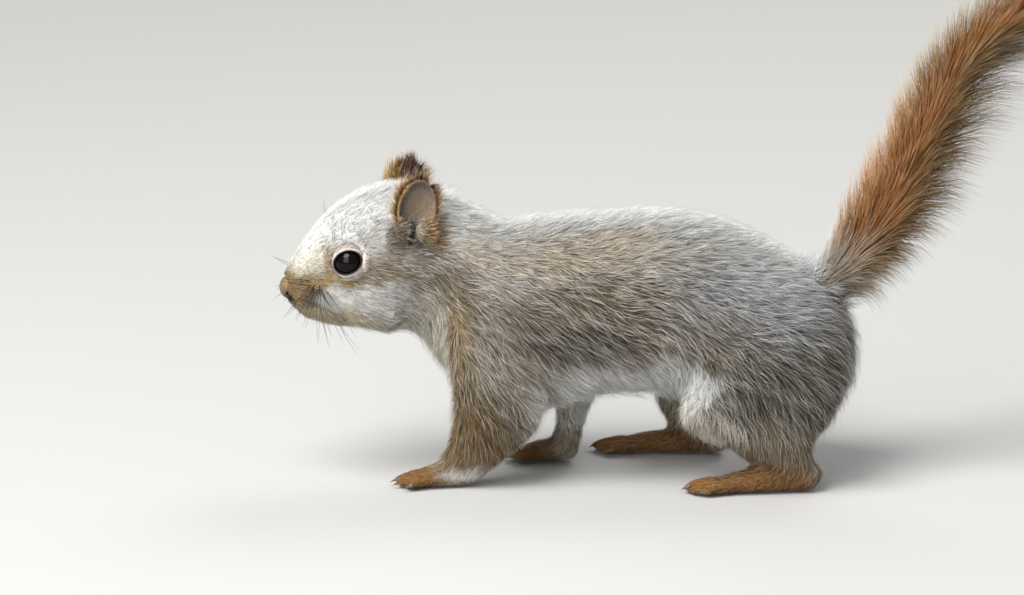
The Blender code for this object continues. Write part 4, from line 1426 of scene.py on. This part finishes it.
class SQUIRREL_OT_ear_coat(Operator):
    """Grows short hair on the ears, dark inside and longer along their edges"""

    bl_idname = "squirrel.ear_coat"
    bl_label = "Ear coat"

    def execute(self, context):
        ground, unwrap = footing()
        random = np.random.default_rng(41)
        places, normals = ground.roots(EAR_DENSITY, 42, ground.forms == EAR)
        above_foot = on_ear(places, normals)[0][:, 2] > EAR_FOOT
        places, normals = places[above_foot], normals[above_foot]
        spine, inner = ear_hairs(places, normals, random)
        bands = ticked(ear_painted(places, normals), random, silvering=0.2)
        widths = np.where(inner, 0.16, 0.22) * random.uniform(0.7, 1.3, len(places))
        grow("coat_ears", spine, widths, normals, bands, unwrap.at(places))
        return {"FINISHED"}


class SQUIRREL_OT_brush(Operator):
    """Grows the brush of the tail, from its core out to its outline"""

    bl_idname = "squirrel.brush"
    bl_label = "Tail brush"

    def execute(self, context):
        ground, unwrap = footing()
        outer = outer_form()
        edge = BVHTree.FromPolygons(points_of(outer).tolist(), triangles_of(outer).tolist())
        bpy.data.objects.remove(outer, do_unlink=True)
        share, on_tail = on_core(ground.middles())
        for name, (low, high, seed) in BRUSH.items():
            random = np.random.default_rng(seed)
            wanted = on_tail & (share >= low) & (share < high)
            places, normals = ground.roots(BRUSH_DENSITY, seed + 10, wanted)
            spine, bands = brush_hairs(places, edge, random)
            widths = BRUSH_WIDTH * random.uniform(0.7, 1.3, len(places))
            grow(name, spine, widths, normals, bands, unwrap.at(places))
        return {"FINISHED"}


def room(edge, places, ways):
    """How far it is from each place to the outline along its own way, in millimetres."""
    reach = np.empty(len(places))
    for i, (place, way) in enumerate(zip(places.tolist(), ways.tolist())):
        hit = edge.ray_cast(Vector(place), Vector(way), 60.0)
        reach[i] = hit[3] if hit[0] is not None else 12.0
    return np.minimum(reach, LONGEST)


def leaning(axis, radial, angle):
    """The way that leans from the axis towards the radial way, by an angle in radians."""
    return axis * np.cos(angle)[:, None] + radial * np.sin(angle)[:, None]


def brush_hairs(places, edge, random):
    """Hairs that leave the core and bend away from it, out to the outline, and their colours."""
    line, ways = tail_line()
    share, away = tail_reach(places)
    number = np.round(share * (len(line) - 1)).astype(int)
    axis = ways[number]
    radial = places - line[number]
    radial = unit(radial - axis * (radial * axis).sum(axis=1, keepdims=True))
    dorsal = (radial * unit(np.cross(axis, (0.0, 1.0, 0.0)))).sum(axis=1)
    count = len(places)
    foot = smoothstep(0.0, -0.7, dorsal) * smoothstep(0.4, 0.2, share)
    spread = np.radians(30 + 20 * np.abs(dorsal) + random.normal(0, 5, count))
    spread = spread * (1 - 0.4 * share) + np.radians(14) * foot
    spread *= 1 - 0.75 * smoothstep(4.0, 11.0, away) * smoothstep(-0.7, 0.2, dorsal)
    bend = np.radians(9 - 12 * dorsal + 8 * np.clip(-dorsal, 0, 1))
    reach = room(edge, places, unit(leaning(axis, radial, spread)))
    inner = random.random(count) < 0.3
    reach *= np.where(inner, random.uniform(0.45, 0.75, count), random.uniform(0.78, 1.04, count))
    reach += 9.0 * foot * random.random(count) ** 1.5
    unruly = ripple(places, 8.0, seed=7) * 0.1 + random.normal(0, 0.04, (count, 3))
    spine = [places]
    for step in (-1, 0, 1):
        way = unit(leaning(axis, radial, spread + bend * step) + unruly)
        spine.append(spine[-1] + way * (reach / 3)[:, None])
    return np.stack(spine, axis=1), brush_colours(share, dorsal, foot, random)


def brush_colours(share, dorsal, foot, random):
    """Rust above and bark below, brown and smoke at the tail's foot, and dark edges with straw tips."""
    count = len(share)
    bands = np.repeat(fur_bands("rust")[None], count, axis=0)
    bands = laid_over(bands, "bark", smoothstep(0.3, -0.5, dorsal + random.normal(0, 0.15, count)))
    base = smoothstep(0.15, 0.06, share + random.normal(0, 0.012, count))
    bands = laid_over(bands, "brown", base * 0.8)
    above = 0.15 + 0.5 * np.clip(dorsal, 0, 1)
    bands = laid_over(bands, "smoke", smoothstep(0.12, 0.05, share) * above)
    bands = bands[:, (0, 1, 1, 2)]
    rim = smoothstep(0.45, 0.95, np.abs(dorsal)) * smoothstep(0.25, 0.5, share)
    bands[:, 2] += (fur_bands("umber")[1] - bands[:, 2]) * rim[:, None]
    pale = rim * 0.5 + foot * 0.3 + 0.45 * smoothstep(0.6, 1.0, dorsal)
    pale = np.clip(pale + (random.random(count) > 0.68) * 0.6, 0, 0.9)
    pale = pale[:, None, None] * np.array((0.0, 0.0, 0.25, 1.0))[None, :, None]
    bands = bands * random.normal(1.0, 0.25, (count, 1, 1))
    return np.clip(bands + (np.array(colours().straw) - bands) * pale, 0.003, 0.95)


# Eyes, nose, claws and whiskers


class SQUIRREL_OT_eyes(Operator):
    """Makes the two eyeballs, with a clear bulge in front"""

    bl_idname = "squirrel.eyes"
    bl_label = "Eyes"

    def execute(self, context):
        for eye in EYES:
            look, _, _ = eye_axes(eye)
            low, high = box(eye)
            radius = (high - low).mean() / 2
            eyeball = named(eye.replace("eye", "eyeball"), sphere(64, 40, radius * MM))
            points = points_of(eyeball)
            front = smoothstep(0.55, 1.0, (unit(points) * look).sum(axis=1))
            move_points(eyeball, centre(eye) + points * (1 + 0.03 * front)[:, None])
            finish_piece(eyeball, material("Eye", eye_material), "eye", eye)
        return {"FINISHED"}


class SQUIRREL_OT_nose(Operator):
    """Makes the bare nose pad, with two nostrils and a cleft"""

    bl_idname = "squirrel.nose"
    bl_label = "Nose"

    def execute(self, context):
        low, high = box("nose")
        fore, right, up = head_axes()
        pad = named("nose_pad", sphere(64, 48))
        points = points_of(pad) * MM
        hollow = np.zeros(len(points))
        for side in SIDES:
            nostril = unit(np.array((0.25, side * 0.75, -0.6)))
            oval = np.linalg.norm((points - nostril) / (0.75, 0.6, 0.42), axis=1)
            hollow = np.maximum(hollow, smoothstep(1.0, 0.4, oval))
        cleft = np.exp(-((points[:, 1] / 0.07) ** 2)) * smoothstep(0.1, -0.3, points[:, 2])
        cleft *= points[:, 0] < 0
        shape = points.copy()
        shape[:, 1] *= 1 - 0.3 * smoothstep(0.2, -0.9, points[:, 2])
        shape *= (1 - np.maximum(0.45 * hollow, 0.14 * cleft))[:, None] * (high - low) / 2
        placed = fore * -shape[:, 0:1] + right * shape[:, 1:2] + up * shape[:, 2:3]
        move_points(pad, centre("nose") + placed * 1.04 - fore * 1.0 - up * 0.6)
        # Painted shade: the nostrils and the cleft are darkened.
        dark = np.maximum(hollow, cleft * 0.6)[:, None]
        store_colours(pad.data, np.array(colours().nose) * (1 - 0.92 * dark))
        finish_piece(pad, material("Nose", nose_material), "dark_skin", "nose")
        return {"FINISHED"}


def toe_tips(foot, toes):
    """The foremost point of each toe of a foot, found in equal strips across it."""
    points = points_of(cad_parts[foot])
    low, high = box(foot)
    front = points[points[:, 0] < low[0] + 0.3 * (high[0] - low[0])]
    edges = np.linspace(front[:, 1].min(), front[:, 1].max(), toes + 1)
    tips = []
    for first, last in zip(edges, edges[1:]):
        strip = front[(front[:, 1] >= first) & (front[:, 1] <= last)]
        tips.append(strip[strip[:, 0].argmin()])
    return tips


def claw_form():
    """A curved claw along -X that hooks down, a millimetre long."""
    claw = added(
        bpy.ops.mesh.primitive_cone_add, vertices=12, radius1=0.2, radius2=0.015, depth=1.0
    )
    apply_modifier(claw, "TRIANGULATE")
    cuts = [{"plane_co": (0, 0, height), "plane_no": (0, 0, 1)} for height in (-0.3, -0.1, 0.1, 0.3)]
    edited(claw, *[(bpy.ops.mesh.bisect, cut) for cut in cuts])
    points = points_of(claw) * MM
    along = points[:, 2] + 0.5
    x = points[:, 0] * along - np.sin(along)
    y = points[:, 1] * 0.8
    z = points[:, 0] + (np.cos(along) - 1) * 0.9
    move_points(claw, np.stack([x, y, z], axis=1))
    return claw


class SQUIRREL_OT_claws(Operator):
    """Sets a curved claw at the tip of each toe"""

    bl_idname = "squirrel.claws"
    bl_label = "Claws"

    def execute(self, context):
        pattern = claw_form()
        shape = points_of(pattern)
        for foot, toes in TOES.items():
            for side in SIDES.values():
                copies = []
                for tip in toe_tips(f"{foot}_{side}", toes):
                    claw = copied(pattern)
                    size = sizes().claw * (1.0 if foot == "forefoot" else 1.15)
                    root = np.array((tip[0] + size * 0.84, tip[1], size * 0.42 + 0.3))
                    move_points(claw, root + shape * size)
                    copies.append(claw)
                claws = joined(f"claws_{foot}_{side}", copies)
                finish_piece(claws, material("Claw", claw_material), "dark_skin")
        bpy.data.objects.remove(pattern, do_unlink=True)
        return {"FINISHED"}


def whisker_lines(side, random):
    """Where one side's whiskers and the hairs above its eye start, their ways and their lengths."""
    fore, right, up = head_axes()
    middle = between_eyes()
    roots, ways, lengths = [], [], []
    for share in np.linspace(0, 1, sizes().whiskers):
        ahead = 6.5 + 5.0 * share + random.uniform(-1.2, 1.2)
        below = -9.4 + 2.2 * share + random.uniform(-1.4, 1.4)
        roots.append(middle + fore * ahead + right * side * 7.5 + up * below)
        fan = -0.55 + 1.75 * share + random.normal(0, 0.1)
        fan = 1.9 if share > 0.93 else fan
        outward = right * side * random.uniform(0.5, 1.0)
        ways.append(fore * math.sin(fan) - up * math.cos(fan) + outward)
        lengths.append(sizes().whisker * random.uniform(0.7, 1.0) * (1.1 - 0.45 * share))
    for number in range(BROW_HAIRS):
        roots.append(middle + fore * (4.5 - number) + right * side * 9.0 + up * 6.0)
        ways.append(fore * 0.1 + right * side * 0.3 + up)
        lengths.append(random.uniform(8.0, 12.0))
    return np.array(roots), unit(np.array(ways)), lengths


class SQUIRREL_OT_whiskers(Operator):
    """Sets whiskers on the muzzle and a few long hairs above each eye"""

    bl_idname = "squirrel.whiskers"
    bl_label = "Whiskers"

    def execute(self, context):
        ground = Ground(bpy.data.objects["skin"])
        random = np.random.default_rng(71)
        for side, name in SIDES.items():
            roots, ways, lengths = whisker_lines(side, random)
            places, _ = ground.nearest(roots)
            whiskers = bristles(f"whiskers_{name}", places, ways, lengths, random)
            finish_piece(whiskers, material("Whisker", whisker_material), "dark_skin")
        return {"FINISHED"}


def bristles(name, places, ways, lengths, random):
    """Long thin tapered hairs that curve a little, each from its root."""
    count, steps = len(places), 6
    droop = random.normal(0, 0.12, (count, 3)) + (0.18, 0.0, 0.0)
    spine = [places - ways * 0.4]
    for step in range(steps):
        way = unit(ways + droop * step / steps)
        spine.append(spine[-1] + way * (np.array(lengths) / steps)[:, None])
    colour = np.tile(np.array(colours().dark), (count, steps + 1, 1))
    flat = np.stack([np.linspace(0.02, 0.98, count), np.full(count, 0.5)], axis=1)
    outward = np.tile((1.0, 0.2, 0.1), (count, 1))
    return strands(name, np.stack(spine, axis=1), np.full(count, WHISKER_WIDTH), outward, colour, flat)


# Stage


class SQUIRREL_OT_stage(Operator):
    """Sets the floor, the soft lights and the camera"""

    bl_idname = "squirrel.stage"
    bl_label = "Stage"

    def execute(self, context):
        stage = context.scene.squirrel_stage
        floor = added(bpy.ops.mesh.primitive_plane_add, size=8.0, location=(0, 0, FLOOR_LEVEL * MM))
        floor.name = "floor"
        floor.data.materials.append(material("Floor", floor_material))
        low, high = (np.array((corner[0], corner[2])) for corner in CAD_BOX)
        along, up = low + AIM * (high - low)
        target = Vector((along, 0.0, up))
        place = target + Vector((0, -math.cos(stage.rise), math.sin(stage.rise))) * stage.distance
        camera = added(bpy.ops.object.camera_add, location=place)
        camera.rotation_euler = (target - place).to_track_quat("-Z", "Y").to_euler()
        camera.data.sensor_width = 36.0
        camera.data.lens = 36.0 * stage.distance / stage.view_width
        camera.data.clip_end = 20.0
        context.scene.camera = camera
        light("key", target + Vector((-0.5, -0.55, 1.3)), target, 0.9, stage.key)
        light("fill", target + Vector((-0.7, -1.4, 0.8)), target, 1.2, stage.fill)
        light("back", target + Vector((0.6, 0.9, 1.1)), target, 0.8, stage.fill / 2)
        world = bpy.data.worlds.new("Studio")
        world.use_nodes = True
        background = world.node_tree.nodes["Background"]
        background.inputs["Color"].default_value = (0.86, 0.93, 1.0, 1.0)
        background.inputs["Strength"].default_value = stage.sky
        context.scene.world = world
        context.scene.view_settings.view_transform = "Standard"
        return {"FINISHED"}


def light(name, place, target, size, power):
    lamp = added(bpy.ops.object.light_add, type="AREA", location=place)
    lamp.name = name
    lamp.rotation_euler = (target - Vector(place)).to_track_quat("-Z", "Y").to_euler()
    lamp.data.size = size
    lamp.data.energy = power


class SQUIRREL_PT_panel(Panel):
    """Lists the squirrel's pieces, sizes and colours"""

    bl_idname = "SQUIRREL_PT_panel"
    bl_label = "Squirrel"
    bl_space_type = "VIEW_3D"
    bl_region_type = "UI"
    bl_category = "Squirrel"

    def draw(self, context):
        for operator in OPERATORS:
            self.layout.operator(operator.bl_idname)
        for name in GROUPS:
            group = getattr(context.scene, name)
            column = self.layout.column()
            for row in group.bl_rna.properties.keys():
                if row not in ("rna_type", "name"):
                    column.prop(group, row)


OPERATORS = (
    SQUIRREL_OT_stage,
    SQUIRREL_OT_skin,
    SQUIRREL_OT_eyes,
    SQUIRREL_OT_nose,
    SQUIRREL_OT_claws,
    SQUIRREL_OT_whiskers,
    SQUIRREL_OT_ear_coat,
    SQUIRREL_OT_coat,
    SQUIRREL_OT_fringes,
    SQUIRREL_OT_brush,
)
GROUPS = {
    "squirrel_sizes": SquirrelSizes,
    "squirrel_colours": SquirrelColours,
    "squirrel_stage": SquirrelStage,
}


def register():
    for kind in (*GROUPS.values(), *OPERATORS, SQUIRREL_PT_panel):
        bpy.utils.register_class(kind)
    for name, group in GROUPS.items():
        setattr(bpy.types.Scene, name, PointerProperty(type=group))


def unregister():
    for name in GROUPS:
        delattr(bpy.types.Scene, name)
    for kind in (SQUIRREL_PT_panel, *OPERATORS, *GROUPS.values()):
        bpy.utils.unregister_class(kind)


def main():
    register()
    bpy.ops.squirrel.stage()
    bpy.ops.squirrel.skin()
    bpy.ops.squirrel.eyes()
    bpy.ops.squirrel.nose()
    bpy.ops.squirrel.claws()
    bpy.ops.squirrel.whiskers()
    bpy.ops.squirrel.ear_coat()
    bpy.ops.squirrel.coat()
    bpy.ops.squirrel.fringes()
    bpy.ops.squirrel.brush()


if __name__ == "__main__":
    main()
